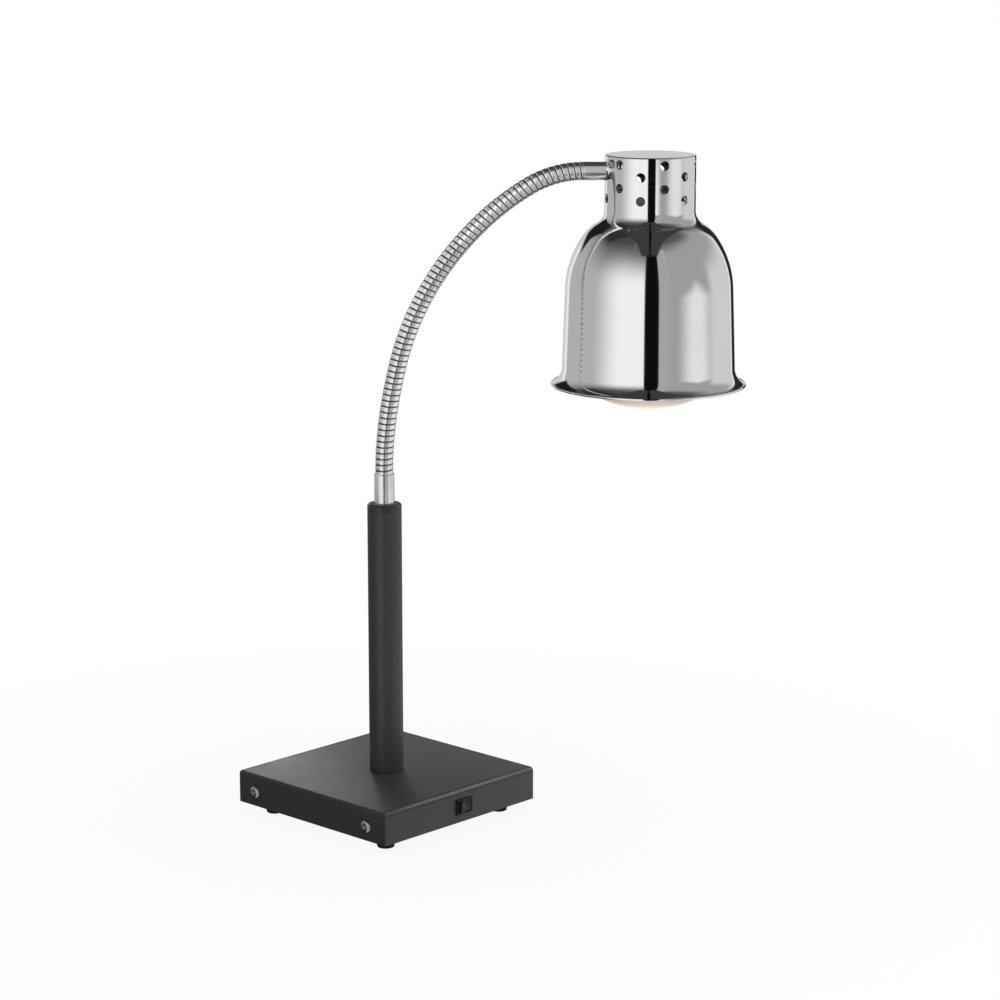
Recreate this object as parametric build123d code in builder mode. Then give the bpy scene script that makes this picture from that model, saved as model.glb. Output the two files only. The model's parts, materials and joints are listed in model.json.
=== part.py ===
"""Freestanding heat lamp: square weighted base, post, flexible neck and bell-shaped shade.

Millimetres, +Z up. The origin is on the floor under the post, and the base's sides lie along
X and Y. The rocker switch is on the -Y side, the cord gland on the +Y side. The neck leans
towards the base's (+X, -Y) corner, in the upright plane that holds both diagonal corners.
"""
import os
from math import asin, atan, cos, degrees, radians, sin, sqrt, tan

from build123d import *

os.makedirs("parts", exist_ok=True)

# Clearances between pieces
sheet_gap = 0.3
running_gap = 0.05
slip_gap = 0.1
moving_gap = 0.3
hole_allowance = 0.25

# How far a drilled hole's cut runs past the wall on each side
drill_overrun = 1.0

# Proportions shared by all the pan-head screws
pan_rounding = 0.75
recess_depth_share = 0.6

# Base: a folded steel cover over a steel tray, on four rubber feet
base_side = 200.0
cover_height = 31.5
cover_sheet = 2.0
long_bend_radius = 4.0
end_edge_radius = 1.2
tray_sheet = 1.5
tray_flange_height = 23.0
tray_flange_cut = 12.0
foot_height = 11.0
foot_top_radius = 10.0
foot_tip_radius = 8.0
foot_inset = 24.0
foot_recess_radius = 5.0
foot_recess_depth = 5.0
foot_screw_radius = 2.5
foot_head_radius = 4.3
foot_head_height = 2.6
foot_recess_width = 1.1
foot_nut_flats = 8.0
foot_nut_height = 4.0
foot_screw_tail = 1.5

# Ballast and its screws
ballast_length = 150.0
ballast_margin = 46.0
ballast_thickness = 8.0
ballast_screw_spacing = 126.0
ballast_screw_radius = 2.5
ballast_head_radius = 4.6
ballast_head_height = 2.6
ballast_recess_width = 1.2
ballast_edge_chamfer = 0.8

# Cover screws and the nuts on the tray's flanges
cover_screw_spacing = 152.0
cover_screw_height = 14.4
cover_screw_radius = 3.0
cover_head_radius = 6.0
cover_head_height = 3.6
cover_recess_width = 1.5
cover_screw_length = 12.0
cover_nut_flats = 10.0
cover_nut_height = 5.0

# Rocker switch, bezel outside and body inside the cover's -Y wall
switch_x = 3.2
switch_height = 15.2
bezel_width = 21.0
bezel_height = 15.0
bezel_thickness = 1.8
bezel_corner_radius = 1.2
bezel_edge_radius = 0.6
switch_body_width = 19.0
switch_body_height = 12.7
switch_body_depth = 14.5
switch_wall = 0.75
rocker_half_length = 7.8
rocker_valley = 2.4
rocker_tilt = 12.0
rocker_depth = 3.2
rocker_keel = 4.0
rocker_skirt = 0.5
rocker_edge_radius = 0.5
rocker_swing_room = 4.6
rocker_pivot_depth = 0.8
trunnion_radius = 1.2
trunnion_length = 0.6
blade_width = 4.8
blade_thickness = 0.8
blade_length = 8.0
blade_spacing = 10.0

# Cord gland on the +Y wall
gland_x = -50.0
gland_bore_radius = 3.8
gland_thread_radius = 6.0
gland_hex_flats = 17.0
gland_hex_thickness = 5.0
gland_thread_length = 10.0
gland_cap_radius = 7.6
gland_cap_length = 11.0
gland_cap_edge_radius = 3.0
gland_nut_thickness = 4.0

# Terminal block and earth stud
block_x = -25.0
block_y = 76.0
block_length = 36.0
block_width = 18.0
block_height = 16.0
block_way_pitch = 11.0
block_way_height = 11.0
block_way_radius = 1.5
block_edge_radius = 1.5
block_screw_radius = 1.9
block_screw_inset = 4.5
block_screw_sink = 0.4
block_slot_width = 0.5
block_slot_depth = 1.0
wire_insertion = 7.0
earth_x = 32.0
earth_inset = 28.0
earth_way_x = 12.0
earth_way_y = 32.0
earth_way_radius = 30.0
earth_stud_radius = 2.5
earth_stud_height = 13.0
earth_nut_flats = 8.0
earth_nut_height = 4.0
earth_tag_radius = 4.5
earth_tag_thickness = 0.8
earth_tongue_width = 3.4
earth_tongue_reach = 9.5

# Post and what holds it to the base
post_radius = 16.25
post_wall = 2.0
post_tube_length = 253.5
bush_length = 18.0
bush_chamfer = 1.0
bolt_engagement = 14.0
stiffener_side = 80.0
stiffener_thickness = 3.0
stiffener_corner_radius = 6.0
post_washer_radius = 10.5
post_washer_thickness = 1.6
post_nut_flats = 14.0
post_nut_height = 5.0
bolt_tail = 1.5
cap_height = 7.0
cap_edge_radius = 2.5
cap_plug_depth = 12.0
cap_recess_depth = 0.8

# The hollow threads, and the lead that runs through them
thread_radius = 5.0
thread_bore_radius = 3.8
lead_radius = 3.5
core_radius = 1.2
core_circle_radius = 2.0
core_bend_radius = 4.0

# Ferrules
lower_ferrule_radius = 9.6
lower_ferrule_length = 28.3
upper_ferrule_radius = 8.6
upper_ferrule_length = 20.0
ferrule_chamfer = 0.6
thread_nut_flats = 14.0
thread_nut_height = 5.0
thread_tail = 3.0

# Flexible neck: lengths of ribbed tube, each an arc, that turn on balls where they meet
section_bends = (8.0, 6.0, 11.5, 11.0, 10.5, 12.0, 31.0)
section_length = 52.63
ribs_per_section = 10
rib_crest_radius = 8.5
rib_shoulder_radius = 8.3
rib_groove_radius = 7.75
rib_shoulder_share = 0.14
neck_bore_radius = 4.3
neck_tail_radius = 7.7
neck_tail_length = 17.0
neck_cut_back = 2.1
ball_radius = 7.0
ball_nose = 2.5
ball_mouth_radius = 5.6
lead_break = 1.0

# Shade: one spun sheet, closed at the top, flared and rolled at the rim
shade_sheet = 1.2
shade_neck_radius = 42.3
shade_top_above_ferrule = 15.3
shade_top_inside_radius = 0.3
shade_neck_height = 51.6
shade_throat_radius = 14.0
shade_throat_turn = 60.0
shade_shoulder_radius = 40.0
shade_shoulder_turn = 25.0
shade_side_radius = 90.0
shade_side_turn = 33.0
shade_side_length = 75.5
shade_flare_radius = 16.0
shade_flare_turn = 64.0
rim_bead_radius = 1.3
vent_radius = 4.4
vent_columns = 12
vent_column_start = 13.5
vent_first_drop = 7.1
vent_row_pitch = 10.8

# Bracket inside the shade's neck, and its two screws
bracket_sheet = 2.0
bracket_half_angle = 37.0
bracket_top_gap = 1.4
bracket_plate_drop = 33.6
bracket_disc_radius = 26.0
bracket_arm_width = 36.0
bracket_screw_angle = 28.5
bracket_screw_radius = 2.0
bracket_recess_width = 1.0
bracket_screw_length = 7.0
bracket_head_radius = 4.0
bracket_head_height = 2.4

# Porcelain lampholder
holder_radius = 24.0
holder_mouth_outer_radius = 23.0
holder_height = 52.0
holder_mouth_radius = 20.6
holder_mouth_depth = 9.0
holder_socket_radius = 14.6
holder_socket_depth = 36.0
holder_edge_radius = 1.5
holder_screw_offset = 15.0
holder_screw_radius = 2.0
holder_screw_length = 12.0
holder_head_radius = 3.8
holder_head_height = 2.2
holder_recess_width = 1.0
holder_wire_offset = 11.0
holder_wire_depth = 6.0
shell_wall = 0.85
shell_length = 24.0
contact_radius = 6.0
contact_thickness = 1.0
contact_post_radius = 2.0
contact_post_length = 3.0

# Infrared reflector bulb, 125 mm across, with heights above the top of its dome
bulb_length = 181.5
bulb_glass_wall = 1.0
bulb_radius = 62.5
bulb_dome_radius = 105.0
bulb_edge_radius = 10.0
bulb_body_share = 0.74
bulb_neck_radius = 19.0
bulb_neck_straight = 15.2
bulb_throat_gap = 1.2
bulb_stem_radius = 12.2
bulb_stem_length = 11.0
bulb_cap_radius = 13.3
bulb_cap_wall = 0.7
bulb_cap_length = 22.0
bulb_crown_radius = 8.0
bulb_crown_height = 2.0
bulb_button_radius = 4.5
bulb_button_height = 3.5
filament_ring_radius = 14.0
filament_wire_radius = 0.8
filament_drop = 64.0
filament_rod_radius = 3.5
filament_rod_drop = 46.0
filament_wire_root = 2.0
filament_flare_height = 3.0

# Heights in the base and post, worked out from the sizes above
cover_bottom = foot_height
cover_top = cover_bottom + cover_height
cover_ceiling = cover_top - cover_sheet
tray_top = cover_bottom + tray_sheet
ballast_top = tray_top + ballast_thickness
ballast_width = base_side - 2 * ballast_margin
wire_level = tray_top + block_way_height
block_screw_height = block_height - block_way_height - block_way_radius
cover_inner_side = base_side - 2 * cover_sheet
foot_spacing = base_side - 2 * foot_inset
earth_y = base_side / 2 - earth_inset
tray_side = cover_inner_side - 2 * sheet_gap
post_tube_top = cover_top + post_tube_length
post_top = post_tube_top + cap_height
ferrule_seat = post_top - cap_recess_depth
neck_foot = post_top + lower_ferrule_length
stiffener_bottom = cover_ceiling - stiffener_thickness
washer_bottom = stiffener_bottom - post_washer_thickness
post_nut_bottom = washer_bottom - post_nut_height
bolt_bottom = post_nut_bottom - bolt_tail
bolt_hole_radius = thread_radius + hole_allowance

# The arm's upright plane: e points from the post to the head, side is square to it
arm_direction = Vector(1, -1, 0).normalized()
side_direction = Vector(1, 1, 0).normalized()
up_direction = Vector(0, 0, 1)
arm_plane = Plane(origin=(0, 0, 0), x_dir=arm_direction, z_dir=side_direction * -1)
section_count = len(section_bends)
neck_length = section_count * section_length


def neck_point(distance):
    """Reach, height and heading of the neck's centre line at a distance from its foot."""
    reach = 0.0
    height = neck_foot
    heading = 0.0
    left = distance
    if left > 0:
        for bend in section_bends:
            run = min(left, section_length)
            radius = section_length / radians(bend)
            turn = run / radius
            reach += radius * (cos(heading) - cos(heading + turn))
            height += radius * (sin(heading + turn) - sin(heading))
            heading += turn
            left -= run
            if left <= 0:
                break
    return reach + left * sin(heading), height + left * cos(heading), heading


def neck_plane(distance):
    """Plane square to the neck's centre line, with its X axis always to the same side."""
    reach, height, heading = neck_point(distance)
    origin = arm_direction * reach + up_direction * height
    tangent = arm_direction * sin(heading) + up_direction * cos(heading)
    return Plane(origin=origin, x_dir=side_direction, z_dir=tangent)


def neck_path(first, last):
    """Centre line from first to last, which lie within one section or its straight tail."""
    points = [neck_point(first)[:2], neck_point((first + last) / 2)[:2], neck_point(last)[:2]]
    with BuildLine(arm_plane) as path:
        ThreePointArc(*points)
    return path.line


# The head's own frame: forward along the upper ferrule, up along the shade's axis
end_plane = neck_plane(neck_length)
head_forward = end_plane.z_dir
head_up = head_forward.cross(side_direction)
head_side = side_direction
wall_distance = upper_ferrule_length + shade_neck_radius
head_centre = end_plane.origin + head_forward * wall_distance
head_axis = Axis(head_centre, head_up)
head_section = Plane(origin=head_centre, x_dir=head_forward, z_dir=head_side * -1)
shade_inner_neck = shade_neck_radius - shade_sheet
shade_top = shade_top_above_ferrule
shade_ceiling = shade_top - shade_sheet
bracket_radius = shade_inner_neck - slip_gap
bracket_plate_bottom = shade_top - bracket_plate_drop - bracket_sheet
bracket_plate_top = bracket_plate_bottom + bracket_sheet
nut_corner_radius = thread_nut_flats / sqrt(3)
nut_face_distance = sqrt((bracket_radius - bracket_sheet) ** 2 - nut_corner_radius ** 2)
upper_nut_distance = nut_face_distance - running_gap
upper_thread_length = shade_neck_radius - upper_nut_distance + thread_nut_height + thread_tail
holder_top = bracket_plate_bottom
holder_bottom = holder_top - holder_height
socket_top = holder_bottom + holder_socket_depth
contact_bottom = socket_top - contact_post_length - contact_thickness
bulb_apex = contact_bottom - bulb_length
bulb_throat_radius = (bulb_neck_radius - bulb_stem_radius) / 2
bulb_neck_end = (contact_bottom - bulb_button_height - bulb_crown_height - bulb_cap_length
                 - bulb_throat_gap - 2 * bulb_throat_radius)
bulb_edge_reach = bulb_radius - bulb_edge_radius
bulb_edge_turn = asin(bulb_edge_reach / (bulb_dome_radius - bulb_edge_radius))
bulb_widest = bulb_apex + bulb_dome_radius - bulb_edge_reach / tan(bulb_edge_turn)
bulb_waist_rise = bulb_neck_end - bulb_neck_straight - bulb_widest
bulb_waist_reach = bulb_radius - bulb_neck_radius
bulb_body_turn = 2 * atan(bulb_waist_reach / bulb_waist_rise)
bulb_curve_radius = bulb_waist_reach / (1 - cos(bulb_body_turn))
bulb_body_radius = bulb_curve_radius * bulb_body_share
bulb_waist_radius = bulb_curve_radius - bulb_body_radius


def head_level(height):
    """Plane square to the shade's axis, at a height above the upper ferrule's axis."""
    return Plane(origin=head_centre + head_up * height, x_dir=head_forward, z_dir=head_up)


def pan_screws(seats, head_radius, head_height, shank_radius, shank_length, recess_width):
    """Pan-head screws with a cross recess: each seat's Z axis points out of the head."""
    with BuildPart() as screws:
        for seat in seats:
            with BuildSketch(seat):
                Circle(head_radius)
            extrude(amount=head_height)
            outer = edges(Select.LAST).sort_by(Axis(seat.origin, seat.z_dir))[-1]
            fillet(outer, radius=head_height * pan_rounding)
            with BuildSketch(seat.offset(head_height)):
                Rectangle(head_radius, recess_width)
                Rectangle(recess_width, head_radius)
            extrude(amount=-head_height * recess_depth_share, mode=Mode.SUBTRACT)
            with BuildSketch(seat):
                Circle(shank_radius)
            extrude(amount=-shank_length)
    return screws


def hex_nuts(seats, flats, height, bore_radius):
    """Hexagon nuts: each stands on its seat and rises along the seat's Z axis."""
    with BuildPart() as nuts:
        for seat in seats:
            with BuildSketch(seat):
                RegularPolygon(flats / 2, 6, major_radius=False)
                Circle(bore_radius, mode=Mode.SUBTRACT)
            extrude(amount=height)
    return nuts


def wire_run(points, radii, radius):
    """Round wire along a line of points whose corners are rounded to the given radii."""
    with BuildPart() as wire:
        with BuildLine() as route:
            FilletPolyline(*points, radius=radii)
        path = route.line
        with BuildSketch(Plane(origin=path @ 0, z_dir=path % 0)):
            Circle(radius)
        sweep(path=path)
    return wire


# Base cover: folded over at the two long edges, closed at the ends
switch_seat = Plane(origin=(switch_x, -base_side / 2, cover_bottom + switch_height),
                    x_dir=(1, 0, 0), z_dir=(0, -1, 0))
gland_seat = Plane(origin=(gland_x, base_side / 2, cover_bottom + switch_height),
                   x_dir=(1, 0, 0), z_dir=(0, 1, 0))
screw_level = cover_bottom + cover_screw_height
cover_screw_seats = [
    Plane(origin=(side * base_side / 2, end * cover_screw_spacing / 2, screw_level),
          x_dir=(0, 1, 0), z_dir=(side, 0, 0))
    for side in (-1, 1)
    for end in (-1, 1)
]

with BuildPart() as base_cover:
    with BuildSketch(Plane.YZ):
        with Locations((0, cover_bottom + cover_height / 2)):
            Rectangle(base_side, cover_height)
        fillet(vertices().group_by(Axis.Y)[-1], radius=long_bend_radius)
    extrude(amount=base_side / 2, both=True)
    end_outlines = edges().group_by(Axis.X)[0] + edges().group_by(Axis.X)[-1]
    fillet([edge for edge in end_outlines if edge.center().Z > cover_bottom + 1],
           radius=end_edge_radius)
    with BuildSketch(Plane.YZ):
        with Locations((0, cover_bottom + (cover_height - cover_sheet) / 2)):
            Rectangle(cover_inner_side, cover_height - cover_sheet)
        fillet(vertices().group_by(Axis.Y)[-1], radius=long_bend_radius - cover_sheet)
    extrude(amount=cover_inner_side / 2, both=True, mode=Mode.SUBTRACT)
    with BuildSketch(Plane.XY.offset(cover_top)):
        Circle(bolt_hole_radius)
    extrude(amount=-cover_sheet, mode=Mode.SUBTRACT)
    with BuildSketch(switch_seat):
        Rectangle(switch_body_width + 2 * slip_gap, switch_body_height + 2 * slip_gap)
    extrude(amount=-cover_sheet, mode=Mode.SUBTRACT)
    with BuildSketch(gland_seat):
        Circle(gland_thread_radius + slip_gap)
    extrude(amount=-cover_sheet, mode=Mode.SUBTRACT)
    for seat in cover_screw_seats:
        with BuildSketch(seat):
            Circle(cover_screw_radius + hole_allowance)
        extrude(amount=-cover_sheet, mode=Mode.SUBTRACT)
base_cover.part.label = "base_cover"
export_step(base_cover.part, "parts/base_cover.step")

# Tray that closes the base from below, with a flange up each end for the cover screws
flange_length = tray_side - 2 * tray_flange_cut
ballast_screw_places = GridLocations(ballast_screw_spacing, 0, 2, 1)
with BuildPart() as base_tray:
    with BuildSketch(Plane.XY.offset(cover_bottom)):
        Rectangle(tray_side, tray_side)
        with GridLocations(foot_spacing, foot_spacing, 2, 2):
            Circle(foot_screw_radius + slip_gap, mode=Mode.SUBTRACT)
        with ballast_screw_places:
            Circle(ballast_screw_radius + slip_gap, mode=Mode.SUBTRACT)
        with Locations((earth_x, earth_y)):
            Circle(earth_stud_radius + slip_gap, mode=Mode.SUBTRACT)
    extrude(amount=tray_sheet)
    with BuildSketch(Plane.XY.offset(cover_bottom)):
        with GridLocations(tray_side - tray_sheet, 0, 2, 1):
            Rectangle(tray_sheet, flange_length)
    extrude(amount=tray_flange_height)
    for seat in cover_screw_seats:
        with BuildSketch(seat.offset(-cover_sheet)):
            Circle(cover_screw_radius + hole_allowance)
        extrude(amount=-sheet_gap - tray_sheet, mode=Mode.SUBTRACT)
base_tray.part.label = "base_tray"
export_step(base_tray.part, "parts/base_tray.step")

# Ballast plate on the tray, held by two screws from below
with BuildPart() as ballast_plate:
    with BuildSketch(Plane.XY.offset(tray_top)):
        Rectangle(ballast_length, ballast_width)
        with ballast_screw_places:
            Circle(ballast_screw_radius + running_gap, mode=Mode.SUBTRACT)
    extrude(amount=ballast_thickness)
    chamfer(faces().sort_by(Axis.Z)[-1].outer_wire().edges(), length=ballast_edge_chamfer)
ballast_plate.part.label = "ballast_plate"
export_step(ballast_plate.part, "parts/ballast_plate.step")

ballast_seats = [
    Plane(origin=(side * ballast_screw_spacing / 2, 0, cover_bottom), z_dir=(0, 0, -1))
    for side in (-1, 1)
]
ballast_screws = pan_screws(ballast_seats, ballast_head_radius, ballast_head_height,
                            ballast_screw_radius, tray_sheet + ballast_thickness,
                            ballast_recess_width)
ballast_screws.part.label = "ballast_screws"
export_step(ballast_screws.part, "parts/ballast_screws.step")

# Cover screws and the weld nuts behind the tray's flanges
cover_screws = pan_screws(cover_screw_seats, cover_head_radius, cover_head_height,
                          cover_screw_radius, cover_screw_length, cover_recess_width)
cover_screws.part.label = "cover_screws"
export_step(cover_screws.part, "parts/cover_screws.step")

nut_depth = cover_sheet + sheet_gap + tray_sheet + cover_nut_height
flange_nuts = hex_nuts([seat.offset(-nut_depth) for seat in cover_screw_seats],
                       cover_nut_flats, cover_nut_height, cover_screw_radius + running_gap)
flange_nuts.part.label = "flange_nuts"
export_step(flange_nuts.part, "parts/flange_nuts.step")

# Rubber feet, each with a screw in its recess and a nut inside the tray
foot_corners = [(x * foot_spacing / 2, y * foot_spacing / 2) for x in (-1, 1) for y in (-1, 1)]
with BuildPart() as rubber_feet:
    for x, y in foot_corners:
        with BuildSketch(Plane.XY):
            with Locations((x, y)):
                Circle(foot_tip_radius)
        with BuildSketch(Plane.XY.offset(foot_height)):
            with Locations((x, y)):
                Circle(foot_top_radius)
        loft()
        with BuildSketch(Plane.XY):
            with Locations((x, y)):
                Circle(foot_recess_radius)
        extrude(amount=foot_recess_depth, mode=Mode.SUBTRACT)
        with BuildSketch(Plane.XY):
            with Locations((x, y)):
                Circle(foot_screw_radius + slip_gap)
        extrude(amount=foot_height, mode=Mode.SUBTRACT)
rubber_feet.part.label = "rubber_feet"
export_step(rubber_feet.part, "parts/rubber_feet.step")

foot_seats = [Plane(origin=(x, y, foot_recess_depth), z_dir=(0, 0, -1)) for x, y in foot_corners]
foot_grip = foot_height - foot_recess_depth + tray_sheet
foot_shank = foot_grip + foot_nut_height + foot_screw_tail
foot_screws = pan_screws(foot_seats, foot_head_radius, foot_head_height,
                         foot_screw_radius, foot_shank, foot_recess_width)
foot_screws.part.label = "foot_screws"
export_step(foot_screws.part, "parts/foot_screws.step")

foot_nuts = hex_nuts([Plane(origin=(x, y, tray_top)) for x, y in foot_corners],
                     foot_nut_flats, foot_nut_height, foot_screw_radius + running_gap)
foot_nuts.part.label = "foot_nuts"
export_step(foot_nuts.part, "parts/foot_nuts.step")

# Switch housing: bezel, body and a pocket for the rocker, with a socket for each trunnion
pocket_width = switch_body_width - 2 * switch_wall
pocket_height = switch_body_height - 2 * switch_wall
pocket_depth = bezel_thickness + rocker_depth + rocker_swing_room
pivot_plane = switch_seat.offset(-rocker_pivot_depth)
rocker_height = pocket_height - 2 * moving_gap
trunnion_reach = rocker_height / 2 + trunnion_length
with BuildPart() as switch_housing:
    with BuildSketch(switch_seat):
        RectangleRounded(bezel_width, bezel_height, bezel_corner_radius)
    extrude(amount=bezel_thickness)
    fillet(faces().sort_by(Axis.Y)[0].edges(), radius=bezel_edge_radius)
    with BuildSketch(switch_seat):
        Rectangle(switch_body_width, switch_body_height)
    extrude(amount=-switch_body_depth)
    with BuildSketch(switch_seat.offset(bezel_thickness)):
        Rectangle(pocket_width, pocket_height)
    extrude(amount=-pocket_depth, mode=Mode.SUBTRACT)
    with BuildSketch(Plane(origin=pivot_plane.origin, x_dir=(1, 0, 0), z_dir=(0, 0, 1))):
        Circle(trunnion_radius + running_gap)
    extrude(amount=trunnion_reach + running_gap, both=True, mode=Mode.SUBTRACT)
switch_housing.part.label = "switch_housing"
export_step(switch_housing.part, "parts/switch_housing.step")

# Rocker: two faces that meet in a valley, resting with its +X end pressed in
valley_rise = rocker_half_length * tan(radians(rocker_tilt))
rocker_outline = [
    (-rocker_half_length, -rocker_valley - valley_rise),
    (0, -rocker_valley),
    (rocker_half_length, -rocker_valley - valley_rise),
    (rocker_half_length, rocker_skirt),
    (rocker_keel, rocker_depth),
    (-rocker_keel, rocker_depth),
    (-rocker_half_length, rocker_skirt),
]
rocker_plane = Plane(origin=pivot_plane.origin, x_dir=(1, 0, 0), z_dir=(0, 0, 1))
rocker_rest = rocker_plane.rotated((0, 0, rocker_tilt))
with BuildPart() as switch_rocker:
    with BuildSketch(rocker_rest):
        Polygon(*rocker_outline, align=None)
    extrude(amount=rocker_height / 2, both=True)
    fillet(edges().filter_by(Axis.Z).sort_by(Axis.Y)[:2], radius=rocker_edge_radius)
    with BuildSketch(rocker_plane):
        Circle(trunnion_radius)
    extrude(amount=trunnion_reach, both=True)
switch_rocker.part.label = "switch_rocker"
export_step(switch_rocker.part, "parts/switch_rocker.step")

blade_seat = switch_seat.offset(-switch_body_depth)
with BuildPart() as switch_blades:
    with BuildSketch(blade_seat):
        with GridLocations(blade_spacing, 0, 2, 1):
            Rectangle(blade_thickness, blade_width)
    extrude(amount=-blade_length)
switch_blades.part.label = "switch_blades"
export_step(switch_blades.part, "parts/switch_blades.step")

# Cord gland: body through the wall, domed cap outside, lock nut inside
with BuildPart() as cable_gland:
    with BuildSketch(gland_seat):
        RegularPolygon(gland_hex_flats / 2, 6, major_radius=False)
    extrude(amount=gland_hex_thickness)
    with BuildSketch(gland_seat):
        Circle(gland_thread_radius)
    extrude(amount=-gland_thread_length)
    with BuildSketch(gland_seat.offset(gland_hex_thickness)):
        Circle(gland_bore_radius)
    extrude(amount=-gland_hex_thickness - gland_thread_length, mode=Mode.SUBTRACT)
cable_gland.part.label = "cable_gland"
export_step(cable_gland.part, "parts/cable_gland.step")

with BuildPart() as gland_cap:
    with BuildSketch(gland_seat.offset(gland_hex_thickness)):
        Circle(gland_cap_radius)
    extrude(amount=gland_cap_length)
    fillet(edges().sort_by(Axis.Y)[-1], radius=gland_cap_edge_radius)
    with BuildSketch(gland_seat.offset(gland_hex_thickness)):
        Circle(gland_bore_radius)
    extrude(amount=gland_cap_length, mode=Mode.SUBTRACT)
gland_cap.part.label = "gland_cap"
export_step(gland_cap.part, "parts/gland_cap.step")

gland_nut = hex_nuts([gland_seat.offset(-cover_sheet - gland_nut_thickness)],
                     gland_hex_flats, gland_nut_thickness, gland_thread_radius + running_gap)
gland_nut.part.label = "gland_nut"
export_step(gland_nut.part, "parts/gland_nut.step")

# Terminal block on the tray, open on the side that faces the post
way_places = [(way * block_way_pitch, 0) for way in (-1, 0, 1)]
block_front = Plane(origin=(block_x, block_y - block_width / 2, tray_top + block_way_height),
                    x_dir=(1, 0, 0), z_dir=(0, -1, 0))
block_face = Plane(origin=(block_x, block_y, tray_top + block_height))
screw_places = [(x, y) for x, _ in way_places for y in (-block_screw_inset, block_screw_inset)]
with BuildPart() as terminal_block:
    with BuildSketch(Plane(origin=(block_x, block_y, tray_top))):
        Rectangle(block_length, block_width)
    extrude(amount=block_height)
    fillet(edges().filter_by(Axis.Z), radius=block_edge_radius)
    with BuildSketch(block_front):
        with Locations(*way_places):
            Circle(block_way_radius)
    extrude(amount=-block_width, mode=Mode.SUBTRACT)
    with BuildSketch(block_face):
        with Locations(*screw_places):
            Circle(block_screw_radius + running_gap)
    extrude(amount=-block_screw_height, mode=Mode.SUBTRACT)
terminal_block.part.label = "terminal_block"
export_step(terminal_block.part, "parts/terminal_block.step")

with BuildPart() as terminal_screws:
    with BuildSketch(block_face.offset(-block_screw_sink)):
        with Locations(*screw_places):
            Circle(block_screw_radius)
    extrude(amount=block_screw_sink - block_screw_height)
    with BuildSketch(block_face.offset(-block_screw_sink)):
        with Locations(*screw_places):
            Rectangle(3 * block_screw_radius, block_slot_width)
    extrude(amount=-block_slot_depth, mode=Mode.SUBTRACT)
terminal_screws.part.label = "terminal_screws"
export_step(terminal_screws.part, "parts/terminal_screws.step")

# Earth stud on the tray: stud, ring tag with a tongue towards the post, and nut
earth_seat = Plane(origin=(earth_x, earth_y, tray_top))
earth_nut_seat = earth_seat.offset(earth_tag_thickness + running_gap)
with BuildPart() as earth_stud:
    with BuildSketch(Plane(origin=(earth_x, earth_y, cover_bottom))):
        Circle(earth_stud_radius)
    extrude(amount=earth_stud_height)
    with BuildSketch(earth_seat):
        Circle(earth_tag_radius)
        with Locations((0, -earth_tongue_reach / 2)):
            Rectangle(earth_tongue_width, earth_tongue_reach)
        Circle(earth_stud_radius + running_gap, mode=Mode.SUBTRACT)
    extrude(amount=earth_tag_thickness)
    add(hex_nuts([earth_nut_seat], earth_nut_flats, earth_nut_height,
                 earth_stud_radius + running_gap).part)
earth_stud.part.label = "earth_stud"
export_step(earth_stud.part, "parts/earth_stud.step")

# Post: tube, foot bush, hollow bolt, stiffener under the cover, washer and nut
with BuildPart() as post_tube:
    with BuildSketch(Plane.XY.offset(cover_top)):
        Circle(post_radius)
        Circle(post_radius - post_wall, mode=Mode.SUBTRACT)
    extrude(amount=post_tube_length)
post_tube.part.label = "post_tube"
export_step(post_tube.part, "parts/post_tube.step")

post_inner_radius = post_radius - post_wall
with BuildPart() as post_bush:
    with BuildSketch(Plane.XY.offset(cover_top)):
        Circle(post_inner_radius - slip_gap)
        Circle(thread_radius + running_gap, mode=Mode.SUBTRACT)
    extrude(amount=bush_length)
    chamfer(faces().sort_by(Axis.Z)[-1].outer_wire().edges(), length=bush_chamfer)
post_bush.part.label = "post_bush"
export_step(post_bush.part, "parts/post_bush.step")

with BuildPart() as post_bolt:
    with BuildSketch(Plane.XY.offset(bolt_bottom)):
        Circle(thread_radius)
        Circle(thread_bore_radius, mode=Mode.SUBTRACT)
    extrude(amount=cover_top + bolt_engagement - bolt_bottom)
post_bolt.part.label = "post_bolt"
export_step(post_bolt.part, "parts/post_bolt.step")

with BuildPart() as stiffener_plate:
    with BuildSketch(Plane.XY.offset(stiffener_bottom)):
        RectangleRounded(stiffener_side, stiffener_side, stiffener_corner_radius)
        Circle(bolt_hole_radius, mode=Mode.SUBTRACT)
    extrude(amount=stiffener_thickness)
stiffener_plate.part.label = "stiffener_plate"
export_step(stiffener_plate.part, "parts/stiffener_plate.step")

with BuildPart() as post_washer:
    with BuildSketch(Plane.XY.offset(washer_bottom)):
        Circle(post_washer_radius)
        Circle(bolt_hole_radius, mode=Mode.SUBTRACT)
    extrude(amount=post_washer_thickness)
post_washer.part.label = "post_washer"
export_step(post_washer.part, "parts/post_washer.step")

post_nut = hex_nuts([Plane.XY.offset(post_nut_bottom)], post_nut_flats, post_nut_height,
                    thread_radius + running_gap)
post_nut.part.label = "post_nut"
export_step(post_nut.part, "parts/post_nut.step")

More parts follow.
